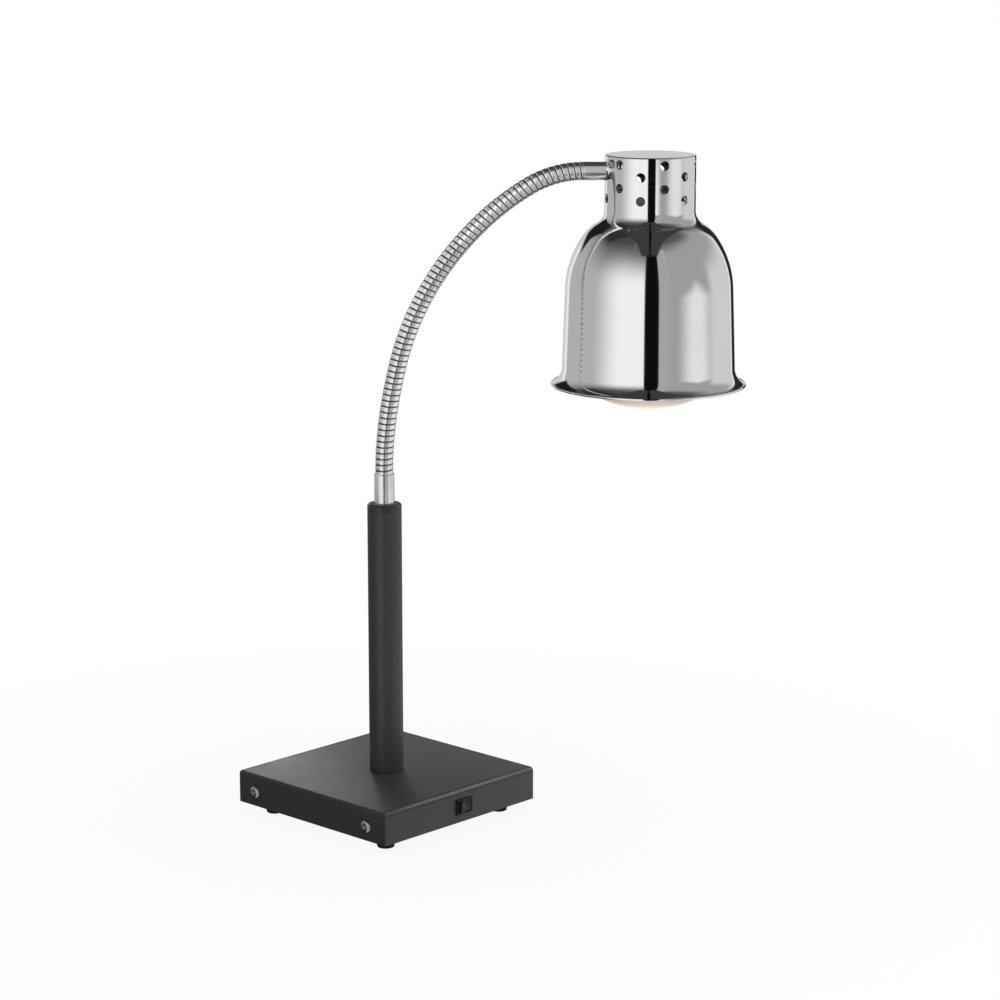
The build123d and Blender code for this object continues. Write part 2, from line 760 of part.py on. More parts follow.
# Post cap: plugs the tube and carries the lower ferrule in a shallow recess
plug_bottom = post_tube_top - cap_plug_depth
with BuildPart() as post_cap:
    with BuildSketch(Plane.XY.offset(post_tube_top)):
        Circle(post_radius)
    extrude(amount=cap_height)
    fillet(edges().sort_by(Axis.Z)[-1], radius=cap_edge_radius)
    with BuildSketch(Plane.XY.offset(plug_bottom)):
        Circle(post_inner_radius - slip_gap)
    extrude(amount=cap_plug_depth)
    with BuildSketch(Plane.XY.offset(plug_bottom)):
        Circle(thread_radius + slip_gap)
    extrude(amount=cap_plug_depth + cap_height, mode=Mode.SUBTRACT)
    with BuildSketch(Plane.XY.offset(post_top)):
        Circle(lower_ferrule_radius + hole_allowance)
    extrude(amount=-cap_recess_depth, mode=Mode.SUBTRACT)
post_cap.part.label = "post_cap"
export_step(post_cap.part, "parts/post_cap.step")


def ferrule(seat, radius, length, thread_length):
    """Turned sleeve on its seat plane, socketed for the neck's tail, with a hollow thread below."""
    with BuildPart() as sleeve:
        with BuildSketch(seat):
            Circle(radius)
        extrude(amount=length)
        chamfer(edges().sort_by(Axis(seat.origin, seat.z_dir))[-1], length=ferrule_chamfer)
        if thread_length:
            with BuildSketch(seat):
                Circle(thread_radius)
            extrude(amount=-thread_length)
        with BuildSketch(seat.offset(length)):
            Circle(neck_tail_radius + slip_gap)
        extrude(amount=-neck_tail_length, mode=Mode.SUBTRACT)
        with BuildSketch(seat.offset(length)):
            Circle(thread_bore_radius)
        extrude(amount=-length - thread_length, mode=Mode.SUBTRACT)
    return sleeve


# Lower ferrule on the post cap, with its nut inside the tube
lower_seat = Plane.XY.offset(ferrule_seat)
lower_thread_length = ferrule_seat - plug_bottom + thread_nut_height + thread_tail
lower_ferrule = ferrule(lower_seat, lower_ferrule_radius,
                        lower_ferrule_length + cap_recess_depth, lower_thread_length)
lower_ferrule.part.label = "lower_ferrule"
export_step(lower_ferrule.part, "parts/lower_ferrule.step")

lower_nut = hex_nuts([Plane.XY.offset(plug_bottom - thread_nut_height)], thread_nut_flats,
                     thread_nut_height, thread_radius + running_gap)
lower_nut.part.label = "lower_nut"
export_step(lower_nut.part, "parts/lower_nut.step")

# Lead in the post, from under the bolt to the foot of the neck's tail
tail_bottom = neck_foot - neck_tail_length
with BuildPart() as post_lead:
    with BuildSketch(Plane.XY.offset(bolt_bottom)):
        Circle(lead_radius)
    extrude(amount=tail_bottom - bolt_bottom)
post_lead.part.label = "post_lead"
export_step(post_lead.part, "parts/post_lead.step")

# Flexible neck: each section is a ribbed arc with a bore. It ends in a ball, and the next
# section starts in a socket round that ball, so that they turn on each other
rib_form = [
    (0.0, rib_groove_radius),
    (rib_shoulder_share, rib_shoulder_radius),
    (0.5, rib_crest_radius),
    (1.0 - rib_shoulder_share, rib_shoulder_radius),
]


def neck_section(index):
    """One section of the neck, counted from the post."""
    start = index * section_length
    end = start + section_length
    is_first = index == 0
    is_last = index == section_count - 1
    first = start if is_first else start + neck_cut_back
    last = end if is_last else end - neck_cut_back
    rib_pitch = (last - first) / ribs_per_section
    with BuildPart() as section:
        for rib in range(ribs_per_section):
            for share, radius in rib_form:
                with BuildSketch(neck_plane(first + (rib + share) * rib_pitch)):
                    Circle(radius)
        with BuildSketch(neck_plane(last)):
            Circle(rib_groove_radius)
        loft(ruled=True)
        if is_first:
            with BuildSketch(neck_plane(start)):
                Circle(neck_tail_radius)
            extrude(amount=-neck_tail_length)
        else:
            with Locations(neck_plane(start).origin):
                Sphere(ball_radius + moving_gap, mode=Mode.SUBTRACT)
        if is_last:
            with BuildSketch(neck_plane(end)):
                Circle(neck_tail_radius)
            extrude(amount=neck_tail_length)
        else:
            with Locations(neck_plane(end).origin):
                Sphere(ball_radius)
            with BuildSketch(neck_plane(end).offset(ball_nose)):
                Circle(ball_radius)
            extrude(amount=ball_radius, mode=Mode.SUBTRACT)
            with BuildSketch(neck_plane(end).offset(ball_nose)):
                Circle(ball_mouth_radius)
            extrude(amount=-ball_nose, mode=Mode.SUBTRACT)
        with BuildSketch(neck_plane(start)):
            Circle(neck_bore_radius)
        sweep(path=neck_path(start, end), mode=Mode.SUBTRACT)
        if is_first:
            with BuildSketch(neck_plane(start)):
                Circle(neck_bore_radius)
            extrude(amount=-neck_tail_length, mode=Mode.SUBTRACT)
        if is_last:
            with BuildSketch(neck_plane(end)):
                Circle(neck_bore_radius)
            extrude(amount=neck_tail_length, mode=Mode.SUBTRACT)
    return section


def neck_lead(index):
    """The stretch of lead inside one section of the neck."""
    start = index * section_length
    end = start + section_length
    is_first = index == 0
    is_last = index == section_count - 1
    first = start if is_first else start + lead_break
    last = end if is_last else end - lead_break
    with BuildPart() as lead:
        with BuildSketch(neck_plane(first)):
            Circle(lead_radius)
        sweep(path=neck_path(first, last))
        if is_first:
            with BuildSketch(neck_plane(first)):
                Circle(lead_radius)
            extrude(amount=-neck_tail_length)
        if is_last:
            with BuildSketch(neck_plane(last)):
                Circle(lead_radius)
            extrude(amount=upper_ferrule_length + upper_thread_length)
    return lead


for number in range(section_count):
    section_name = f"neck_section_{number + 1}"
    section_piece = neck_section(number)
    section_piece.part.label = section_name
    export_step(section_piece.part, f"parts/{section_name}.step")
    lead_name = f"neck_lead_{number + 1}"
    lead_piece = neck_lead(number)
    lead_piece.part.label = lead_name
    export_step(lead_piece.part, f"parts/{lead_name}.step")

# Leads in the base: mains in at the block, through the switch, and up inside the post
wire_end_y = block_y - block_width / 2 + wire_insertion
blade_end_y = -base_side / 2 + switch_body_depth + blade_length
blade_level = cover_bottom + switch_height
live_way_x = block_x - block_way_pitch
neutral_way_x = block_x + block_way_pitch
live_blade_x = switch_x - blade_spacing / 2
load_blade_x = switch_x + blade_spacing / 2
core_places = [
    (core_circle_radius * cos(radians(angle)), core_circle_radius * sin(radians(angle)))
    for angle in (270, 150, 30)
]
load_core, neutral_core, earth_core = core_places

live_wire = wire_run(
    [(live_way_x, wire_end_y, wire_level),
     (live_way_x, 48, wire_level),
     (-48, 28, wire_level),
     (-48, -30, wire_level),
     (live_blade_x - 8, -54, wire_level),
     (live_blade_x, blade_end_y + 13, blade_level),
     (live_blade_x, blade_end_y, blade_level)],
    [12, 14, 20, 12, 8], core_radius)
live_wire.part.label = "live_wire"
export_step(live_wire.part, "parts/live_wire.step")

switched_wire = wire_run(
    [(*load_core, bolt_bottom),
     (*load_core, wire_level),
     (2, -34, wire_level),
     (load_blade_x, blade_end_y + 14, blade_level),
     (load_blade_x, blade_end_y, blade_level)],
    [core_bend_radius, 30, 12], core_radius)
switched_wire.part.label = "switched_wire"
export_step(switched_wire.part, "parts/switched_wire.step")

neutral_wire = wire_run(
    [(*neutral_core, bolt_bottom),
     (*neutral_core, wire_level),
     (-5, 26, wire_level),
     (neutral_way_x, 48, wire_level),
     (neutral_way_x, wire_end_y, wire_level)],
    [core_bend_radius, 30, 20], core_radius)
neutral_wire.part.label = "neutral_wire"
export_step(neutral_wire.part, "parts/neutral_wire.step")

earth_wire_y = earth_y - earth_tongue_reach + earth_tongue_width / 2
earth_wire = wire_run(
    [(*earth_core, bolt_bottom),
     (*earth_core, wire_level),
     (earth_way_x, earth_way_y, wire_level),
     (earth_x, earth_wire_y, wire_level),
     (earth_x, earth_wire_y, tray_top + earth_tag_thickness)],
    [core_bend_radius, earth_way_radius, core_bend_radius], core_radius)
earth_wire.part.label = "earth_wire"
export_step(earth_wire.part, "parts/earth_wire.step")


def head_point(forward, side, height):
    """Point in the head, measured from the shade's axis at the upper ferrule's height."""
    return head_centre + head_forward * forward + head_side * side + head_up * height


def neck_wall_plane(angle, height, radius):
    """Plane that faces out of the shade's neck, at an angle from the ferrule's side."""
    turn = radians(180 + angle)
    outward = head_forward * cos(turn) + head_side * sin(turn)
    around = head_side * cos(turn) - head_forward * sin(turn)
    return Plane(origin=head_centre + head_up * height + outward * radius,
                 x_dir=around, z_dir=outward)


def neck_wall_drill(places, radius):
    """Pegs through the shade's neck and the bracket behind it, at (angle, height) places."""
    outside = shade_neck_radius + drill_overrun
    inside = bracket_radius - bracket_sheet - drill_overrun
    with BuildPart() as pegs:
        for angle, height in places:
            with BuildSketch(neck_wall_plane(angle, height, outside)):
                Circle(radius)
            extrude(amount=inside - outside)
    return pegs


def shade_outline(inset):
    """Lines and arcs from the shade's top centre to its rim, inset from the outer face."""
    inner_neck = shade_neck_radius - inset
    edge_radius = shade_top_inside_radius + shade_sheet
    edge_centre = Vector(shade_neck_radius - edge_radius, shade_top - edge_radius)
    Line((0, shade_top - inset), (edge_centre.X, shade_top - inset))
    CenterArc(edge_centre, edge_radius - inset, 90, -90)
    throat_centre = Vector(shade_neck_radius + shade_throat_radius, shade_top - shade_neck_height)
    Line((inner_neck, edge_centre.Y), (inner_neck, throat_centre.Y))
    CenterArc(throat_centre, shade_throat_radius + inset, 180, shade_throat_turn)
    ray = Vector(-1, 0).rotate(Axis.Z, shade_throat_turn)
    shoulder_centre = throat_centre + ray * (shade_throat_radius + shade_shoulder_radius)
    CenterArc(shoulder_centre, shade_shoulder_radius - inset, shade_throat_turn,
              -shade_shoulder_turn)
    side_start = shade_throat_turn - shade_shoulder_turn
    ray = Vector(1, 0).rotate(Axis.Z, side_start)
    side_centre = shoulder_centre - ray * (shade_side_radius - shade_shoulder_radius)
    CenterArc(side_centre, shade_side_radius - inset, side_start, -shade_side_turn)
    side_end = side_start - shade_side_turn
    ray = Vector(1, 0).rotate(Axis.Z, side_end)
    down = Vector(0, -1).rotate(Axis.Z, side_end)
    side_head = side_centre + ray * shade_side_radius
    side_foot = side_head + down * shade_side_length
    Line(side_head - ray * inset, side_foot - ray * inset)
    flare = CenterArc(side_foot + ray * shade_flare_radius, shade_flare_radius + inset,
                      180 + side_end, shade_flare_turn)
    return flare @ 1


# Shade, with its rolled rim, vents, ferrule hole and bracket screw holes
vent_level = shade_top - vent_first_drop
bracket_screw_places = [(-bracket_screw_angle, vent_level), (bracket_screw_angle, vent_level)]
vent_places = [
    (vent_column_start + column * 360 / vent_columns, vent_level - row * vent_row_pitch)
    for column in range(vent_columns)
    for row in ((1, 3) if column % 2 == 0 else (0, 2))
]
with BuildPart() as shade:
    with BuildSketch(head_section):
        with BuildLine():
            outer_rim = shade_outline(0)
            inner_rim = shade_outline(shade_sheet)
            Line(outer_rim, inner_rim)
            Line((0, shade_top), (0, shade_ceiling))
        make_face()
        with Locations((outer_rim + inner_rim) / 2):
            Circle(rim_bead_radius)
    revolve(axis=head_axis)
    add(neck_wall_drill(vent_places, vent_radius).part, mode=Mode.SUBTRACT)
    add(neck_wall_drill([(0, 0)], thread_radius + slip_gap).part, mode=Mode.SUBTRACT)
    add(neck_wall_drill(bracket_screw_places, bracket_screw_radius + slip_gap).part,
        mode=Mode.SUBTRACT)
shade.part.label = "shade"
export_step(shade.part, "parts/shade.step")

# Upper ferrule: saddle-cut to the shade's neck, with its nut inside
upper_seat = neck_wall_plane(0, 0, shade_neck_radius + running_gap)
saddle_depth = upper_ferrule_radius / 2
upper_length = upper_ferrule_length - running_gap
with BuildPart() as upper_ferrule:
    add(ferrule(upper_seat.offset(-saddle_depth), upper_ferrule_radius,
                upper_length + saddle_depth, 0).part)
    with BuildSketch(head_level(-upper_ferrule_radius - 1)):
        Circle(shade_neck_radius + running_gap)
    extrude(amount=2 * upper_ferrule_radius + 2, mode=Mode.SUBTRACT)
    with BuildSketch(upper_seat.offset(upper_length - neck_tail_length)):
        Circle(thread_radius)
        Circle(thread_bore_radius, mode=Mode.SUBTRACT)
    extrude(amount=neck_tail_length - upper_length - upper_thread_length)
upper_ferrule.part.label = "upper_ferrule"
export_step(upper_ferrule.part, "parts/upper_ferrule.step")

upper_nut = hex_nuts([neck_wall_plane(0, 0, upper_nut_distance - thread_nut_height)],
                     thread_nut_flats, thread_nut_height, thread_radius + running_gap)
upper_nut.part.label = "upper_nut"
export_step(upper_nut.part, "parts/upper_nut.step")

# Bracket: a curved flange against the neck's wall, and a plate that carries the lampholder
wedge_reach = 2 * bracket_radius
wedge_side = wedge_reach * tan(radians(bracket_half_angle))
holder_screw_places = GridLocations(2 * holder_screw_offset, 0, 2, 1)
holder_wire_places = GridLocations(0, 2 * holder_wire_offset, 1, 2)
with BuildPart() as holder_bracket:
    with BuildSketch(head_level(bracket_plate_bottom)):
        Circle(bracket_radius)
        Circle(bracket_radius - bracket_sheet, mode=Mode.SUBTRACT)
        Polygon((0, 0), (-wedge_reach, wedge_side), (-wedge_reach, -wedge_side),
                align=None, mode=Mode.INTERSECT)
    extrude(amount=shade_ceiling - bracket_top_gap - bracket_plate_bottom)
    with BuildSketch(head_level(bracket_plate_bottom)):
        Circle(bracket_disc_radius)
        with Locations((-bracket_radius / 2, 0)):
            Rectangle(bracket_radius, bracket_arm_width)
        Circle(bracket_radius, mode=Mode.INTERSECT)
        with holder_screw_places:
            Circle(holder_screw_radius + slip_gap, mode=Mode.SUBTRACT)
        with holder_wire_places:
            Circle(core_radius + hole_allowance, mode=Mode.SUBTRACT)
    extrude(amount=bracket_sheet)
    add(neck_wall_drill([(0, 0)], thread_radius + slip_gap).part, mode=Mode.SUBTRACT)
    add(neck_wall_drill(bracket_screw_places, bracket_screw_radius + running_gap).part,
        mode=Mode.SUBTRACT)
holder_bracket.part.label = "holder_bracket"
export_step(holder_bracket.part, "parts/holder_bracket.step")

bracket_seats = [
    neck_wall_plane(angle, height, shade_neck_radius + running_gap)
    for angle, height in bracket_screw_places
]
bracket_screws = pan_screws(bracket_seats, bracket_head_radius, bracket_head_height,
                            bracket_screw_radius, bracket_screw_length, bracket_recess_width)
bracket_screws.part.label = "bracket_screws"
export_step(bracket_screws.part, "parts/bracket_screws.step")

# Lampholder: porcelain body, metal shell and centre contact, screwed under the plate
with BuildPart() as lampholder:
    with BuildSketch(head_section):
        Polygon((0, holder_top), (holder_radius, holder_top), (holder_radius, socket_top),
                (holder_mouth_outer_radius, holder_bottom), (0, holder_bottom), align=None)
    revolve(axis=head_axis)
    rims = edges().filter_by(GeomType.CIRCLE).group_by(head_axis)
    fillet(rims[0] + rims[-1], radius=holder_edge_radius)
    with BuildSketch(head_level(holder_bottom)):
        Circle(holder_mouth_radius)
    extrude(amount=holder_mouth_depth, mode=Mode.SUBTRACT)
    with BuildSketch(head_level(holder_bottom)):
        Circle(holder_socket_radius)
    extrude(amount=holder_socket_depth, mode=Mode.SUBTRACT)
    with BuildSketch(head_level(holder_top)):
        with holder_screw_places:
            Circle(holder_screw_radius + running_gap)
    extrude(amount=bracket_sheet - holder_screw_length, mode=Mode.SUBTRACT)
    with BuildSketch(head_level(holder_top)):
        with holder_wire_places:
            Circle(core_radius + slip_gap)
    extrude(amount=-holder_wire_depth, mode=Mode.SUBTRACT)
lampholder.part.label = "lampholder"
export_step(lampholder.part, "parts/lampholder.step")

shell_radius = holder_socket_radius - slip_gap
with BuildPart() as lampholder_shell:
    with BuildSketch(head_level(contact_bottom + contact_thickness)):
        Circle(shell_radius)
        Circle(shell_radius - shell_wall, mode=Mode.SUBTRACT)
    extrude(amount=-shell_length)
lampholder_shell.part.label = "lampholder_shell"
export_step(lampholder_shell.part, "parts/lampholder_shell.step")

with BuildPart() as lampholder_contact:
    with BuildSketch(head_level(contact_bottom)):
        Circle(contact_radius)
    extrude(amount=contact_thickness)
    with BuildSketch(head_level(socket_top)):
        Circle(contact_post_radius)
    extrude(amount=-contact_post_length)
lampholder_contact.part.label = "lampholder_contact"
export_step(lampholder_contact.part, "parts/lampholder_contact.step")

holder_seats = [
    Plane(origin=head_point(forward, 0, bracket_plate_top), x_dir=head_forward, z_dir=head_up)
    for forward in (-holder_screw_offset, holder_screw_offset)
]
holder_screws = pan_screws(holder_seats, holder_head_radius, holder_head_height,
                           holder_screw_radius, holder_screw_length, holder_recess_width)
holder_screws.part.label = "holder_screws"
export_step(holder_screws.part, "parts/holder_screws.step")

# Cores from the lead's end to the lampholder, and the earth core down to the plate
lead_end = upper_thread_length - shade_neck_radius
pair_side = core_circle_radius * cos(radians(30))
pair_height = core_circle_radius * sin(radians(30))
earth_landing = lead_end + 8
with BuildPart() as head_wires:
    for side in (-1, 1):
        add(wire_run(
            [head_point(lead_end, side * pair_side, pair_height),
             head_point(lead_end + 8, side * pair_side, pair_height),
             head_point(0, side * holder_wire_offset, -7),
             head_point(0, side * holder_wire_offset, holder_top - holder_wire_depth)],
            [12, 6], core_radius).part)
    add(wire_run(
        [head_point(lead_end, 0, -core_circle_radius),
         head_point(earth_landing, 0, -core_circle_radius),
         head_point(earth_landing, 0, bracket_plate_top)],
        [core_bend_radius], core_radius).part)
head_wires.part.label = "head_wires"
export_step(head_wires.part, "parts/head_wires.step")


def glass_outline(inset):
    """Lines and arcs from the bulb's dome to the end of its stem, inset from the outer face."""
    dome_centre = Vector(0, bulb_apex + bulb_dome_radius)
    edge_centre = Vector(bulb_edge_reach, bulb_widest)
    edge_turn = degrees(bulb_edge_turn)
    body_turn = degrees(bulb_body_turn)
    CenterArc(dome_centre, bulb_dome_radius - inset, -90, edge_turn)
    CenterArc(edge_centre, bulb_edge_radius - inset, edge_turn - 90, 90 - edge_turn)
    body_centre = edge_centre - Vector(bulb_body_radius - bulb_edge_radius, 0)
    CenterArc(body_centre, bulb_body_radius - inset, 0, body_turn)
    ray = Vector(1, 0).rotate(Axis.Z, body_turn)
    waist_centre = body_centre + ray * bulb_curve_radius
    CenterArc(waist_centre, bulb_waist_radius + inset, 180 + body_turn, -body_turn)
    neck_x = bulb_neck_radius - inset
    throat_x = bulb_neck_radius - bulb_throat_radius
    throat_end = bulb_neck_end + 2 * bulb_throat_radius
    Line((neck_x, waist_centre.Y), (neck_x, bulb_neck_end))
    CenterArc((throat_x, bulb_neck_end), bulb_throat_radius - inset, 0, 90)
    CenterArc((throat_x, throat_end), bulb_throat_radius + inset, 270, -90)
    stem_x = bulb_stem_radius - inset
    stem = Line((stem_x, throat_end), (stem_x, glass_top))
    return stem @ 1


# Bulb: one glass wall from the dome to the stem, the cap over the stem, and the filament
glass_top = bulb_neck_end + 2 * bulb_throat_radius + bulb_stem_length
with BuildPart() as bulb_glass:
    with BuildSketch(head_section):
        with BuildLine():
            outer_end = glass_outline(0)
            inner_end = glass_outline(bulb_glass_wall)
            Line(outer_end, inner_end)
            Line((0, bulb_apex), (0, bulb_apex + bulb_glass_wall))
        make_face()
    revolve(axis=head_axis)
bulb_glass.part.label = "bulb_glass"
export_step(bulb_glass.part, "parts/bulb_glass.step")

crown_top = contact_bottom - bulb_button_height
crown_bottom = crown_top - bulb_crown_height
cap_bottom = crown_bottom - bulb_cap_length
with BuildPart() as bulb_cap:
    with BuildSketch(head_section):
        Polygon((0, cap_bottom), (bulb_cap_radius, cap_bottom), (bulb_cap_radius, crown_bottom),
                (bulb_crown_radius, crown_top), (0, crown_top), align=None)
    revolve(axis=head_axis)
    with BuildSketch(head_level(crown_top)):
        Circle(bulb_button_radius)
    extrude(amount=bulb_button_height)
    with BuildSketch(head_level(cap_bottom)):
        Circle(bulb_cap_radius - bulb_cap_wall)
    extrude(amount=bulb_cap_length - bulb_cap_wall, mode=Mode.SUBTRACT)
bulb_cap.part.label = "bulb_cap"
export_step(bulb_cap.part, "parts/bulb_cap.step")

ring_level = bulb_neck_end - filament_drop
rod_bottom = bulb_neck_end - filament_rod_drop
flare_radius = bulb_stem_radius - bulb_glass_wall - slip_gap
with BuildPart() as bulb_filament:
    with BuildSketch(head_level(glass_top)):
        Circle(flare_radius)
    extrude(amount=-filament_flare_height)
    with BuildSketch(head_level(glass_top)):
        Circle(filament_rod_radius)
    extrude(amount=rod_bottom - glass_top)
    for side in (-1, 1):
        support = wire_run(
            [head_point(0, side * filament_wire_root, rod_bottom + filament_flare_height),
             head_point(0, side * filament_wire_root, rod_bottom - filament_wire_root),
             head_point(0, side * filament_ring_radius, ring_level)],
            [filament_wire_root], filament_wire_radius)
        add(support.part)
    with BuildSketch(head_section):
        with Locations((filament_ring_radius, ring_level)):
            Circle(filament_wire_radius)
    revolve(axis=head_axis)
bulb_filament.part.label = "bulb_filament"
export_step(bulb_filament.part, "parts/bulb_filament.step")
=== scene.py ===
"""Looks of the freestanding heat lamp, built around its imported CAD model.

Metres, +Z up, in the CAD model's own frame. Each operator makes one piece, or a group of like
pieces, and the stage has an operator of its own. Every size starts from the driving values in
the property groups or from the frame.
"""

import json
from math import atan, cos, degrees, hypot, pi, radians, sin, tan

import bmesh
import bpy
from bpy.props import FloatProperty, FloatVectorProperty, IntProperty, PointerProperty
from mathutils import Matrix, Vector


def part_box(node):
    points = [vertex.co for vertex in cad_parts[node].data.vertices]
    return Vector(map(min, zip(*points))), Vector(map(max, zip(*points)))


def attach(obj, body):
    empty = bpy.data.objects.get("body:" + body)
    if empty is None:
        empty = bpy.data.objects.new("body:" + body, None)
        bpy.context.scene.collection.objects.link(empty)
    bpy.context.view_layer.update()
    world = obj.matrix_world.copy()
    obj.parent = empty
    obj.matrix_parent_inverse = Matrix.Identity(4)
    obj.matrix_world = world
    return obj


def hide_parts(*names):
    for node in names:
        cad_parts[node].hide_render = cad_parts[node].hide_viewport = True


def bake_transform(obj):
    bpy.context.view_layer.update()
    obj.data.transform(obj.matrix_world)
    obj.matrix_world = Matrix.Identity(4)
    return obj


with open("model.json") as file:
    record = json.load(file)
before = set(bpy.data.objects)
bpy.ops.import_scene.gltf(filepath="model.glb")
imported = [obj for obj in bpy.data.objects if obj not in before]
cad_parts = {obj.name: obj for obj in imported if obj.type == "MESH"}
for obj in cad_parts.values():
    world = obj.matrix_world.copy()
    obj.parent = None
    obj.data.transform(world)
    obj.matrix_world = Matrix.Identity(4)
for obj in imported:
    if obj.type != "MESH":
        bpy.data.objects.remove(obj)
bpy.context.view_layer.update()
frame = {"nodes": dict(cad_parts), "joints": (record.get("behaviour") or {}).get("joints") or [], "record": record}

bl_info = {
    "name": "Heat lamp",
    "version": (1, 0, 0),
    "blender": (4, 5, 0),
    "location": "3D View > Sidebar > Heat Lamp",
    "description": "Models and dresses a freestanding heat lamp around its CAD frame",
    "category": "Object",
}

MM = 0.001
UP = Vector((0, 0, 1))


# Places that the frame gives

def middle(node):
    """Centre of a CAD node's box."""
    low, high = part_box(node)
    return (low + high) / 2


COVER_LOW, COVER_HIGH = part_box("base_cover")
POST_LOW, POST_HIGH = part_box("post_tube")
CAP_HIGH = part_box("post_cap")[1]
NECK_FOOT = Vector((0, 0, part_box("lower_ferrule")[1].z))
HEAD_CENTRE = middle("shade")
SHADE_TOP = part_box("shade")[1].z
FERRULE_HEIGHT = middle("upper_ferrule").z
BULB_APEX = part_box("bulb_glass")[0].z
SWITCH_CENTRE = middle("switch_housing")
GLAND_CENTRE = middle("gland_cap")
ARM = Vector((1, -1, 0)).normalized()
JOINTS = {joint["name"]: joint for joint in frame["joints"]}
CORNERS = ((-1, -1), (-1, 1), (1, -1), (1, 1))


# Sizes and colours that a user would change

def size(name, default, description):
    """Property for a length in metres."""
    return FloatProperty(name=name, description=description, default=default, unit="LENGTH",
                         precision=5)


def sizes(name, default, description):
    """Property for several lengths in metres."""
    return FloatVectorProperty(name=name, description=description, default=default,
                               size=len(default), unit="LENGTH", precision=5)


def count(name, default, description):
    """Property for a whole number."""
    return IntProperty(name=name, description=description, default=default, min=1)


def turn(name, default, description):
    """Property for an angle, whose default is given in degrees."""
    return FloatProperty(name=name, description=description, default=radians(default),
                         subtype="ANGLE")


def colour(name, default, description):
    """Property for a linear colour."""
    return FloatVectorProperty(name=name, description=description, default=default, size=3,
                               subtype="COLOR", min=0, max=1)


class BaseSizes(bpy.types.PropertyGroup):
    """Folded cover, post and feet."""
    sheet: size("Sheet", 0.002, "Thickness of the cover's steel")
    long_bend: size("Long bend", 0.004, "Outside radius of the two folded long edges")
    end_edge: size("End edge", 0.0012, "Rounding of the two end edges")
    post_radius: size("Post radius", 0.01625, "Outside radius of the post")
    post_wall: size("Post wall", 0.002, "Thickness of the post's wall")
    post_chamfer: size("Post chamfer", 0.0005, "Chamfer at the post's ends")
    cap_edge: size("Cap edge", 0.0025, "Rounding of the post cap's top")
    cap_groove: size("Cap groove", 0.00015, "Width and depth of the line under the cap")
    foot_top: size("Foot top radius", 0.010, "Radius of a foot under the base")
    foot_tip: size("Foot tip radius", 0.008, "Radius of a foot on the table")
    foot_recess: size("Foot recess radius", 0.005, "Radius of the recess for the screw")
    foot_recess_depth: size("Foot recess depth", 0.005, "Depth of the recess for the screw")
    foot_bore: size("Foot bore", 0.0026, "Radius of the hole for a foot's screw")
    foot_edge: size("Foot edge", 0.0008, "Rounding round a foot's tip")
    plug_depth: size("Plug depth", 0.012, "How far the cap's plug reaches into the post")
    plug_gap: size("Plug gap", 0.0001, "Clearance of the plug in the post")
    ferrule_recess: size("Ferrule recess", 0.0008, "Depth of the ferrule's seat in the cap")
    hole_gap: size("Hole gap", 0.00025, "Clearance of what passes through cover and cap")


class ScrewSizes(bpy.types.PropertyGroup):
    """Pan-head screws, each as its head's radius and height and its shank's radius."""
    cover: sizes("Cover screw", (0.006, 0.0036, 0.003), "Head radius, height and shank radius")
    cover_length: size("Cover screw length", 0.012, "Length of the shank")
    bracket: sizes("Bracket screw", (0.004, 0.0024, 0.002),
                   "Head radius, height and shank radius")
    bracket_length: size("Bracket screw length", 0.007, "Length of the shank")
    foot: sizes("Foot screw", (0.0043, 0.0026, 0.0025), "Head radius, height and shank radius")
    ballast: sizes("Ballast screw", (0.0046, 0.0026, 0.0025),
                   "Head radius, height and shank radius")


class NeckSizes(bpy.types.PropertyGroup):
    """Flexible neck and its two ferrules."""
    section_bends: FloatVectorProperty(
        name="Section bends", description="Degrees that each section of the neck turns", size=7,
        default=(8.0, 6.0, 11.5, 11.0, 10.5, 12.0, 31.0))
    section_length: size("Section length", 0.05263, "Length of one section along its arc")
    end_turns: count("End turns", 6, "Turns of the winding at each fixed end")
    joint_turns: count("Joint turns", 9, "Turns of the winding over each joint")
    crest_radius: size("Crest radius", 0.0085, "Radius over the winding")
    groove_depth: size("Groove depth", 0.0006, "Depth of the seam between two turns")
    wall: size("Wall", 0.0007, "Thickness of the winding")
    bend_reach: size("Bend reach", 0.018, "How far each side of a joint the neck bends")
    ferrule_chamfer: size("Ferrule chamfer", 0.0006, "Rounding at a ferrule's ends")
    lower_radius: size("Lower ferrule radius", 0.0096, "Outside radius of the lower ferrule")
    upper_radius: size("Upper ferrule radius", 0.0086, "Outside radius of the upper ferrule")
    upper_length: size("Upper ferrule length", 0.020, "From the shade to the ferrule's end")
    upper_thread: size("Upper thread", 0.0122, "How far the thread reaches into the shade")
    thread_radius: size("Thread radius", 0.005, "Outside radius of the ferrules' threads")
    thread_bore: size("Thread bore", 0.0038, "Radius of the way for the lead")
    thread_hole: size("Thread hole", 0.0051, "Radius of the holes for the threads")
    socket_depth: size("Socket depth", 0.017, "How far the neck's end sits in a ferrule")
    socket_inset: size("Socket inset", 0.0007, "From the crest in to the socket's wall")


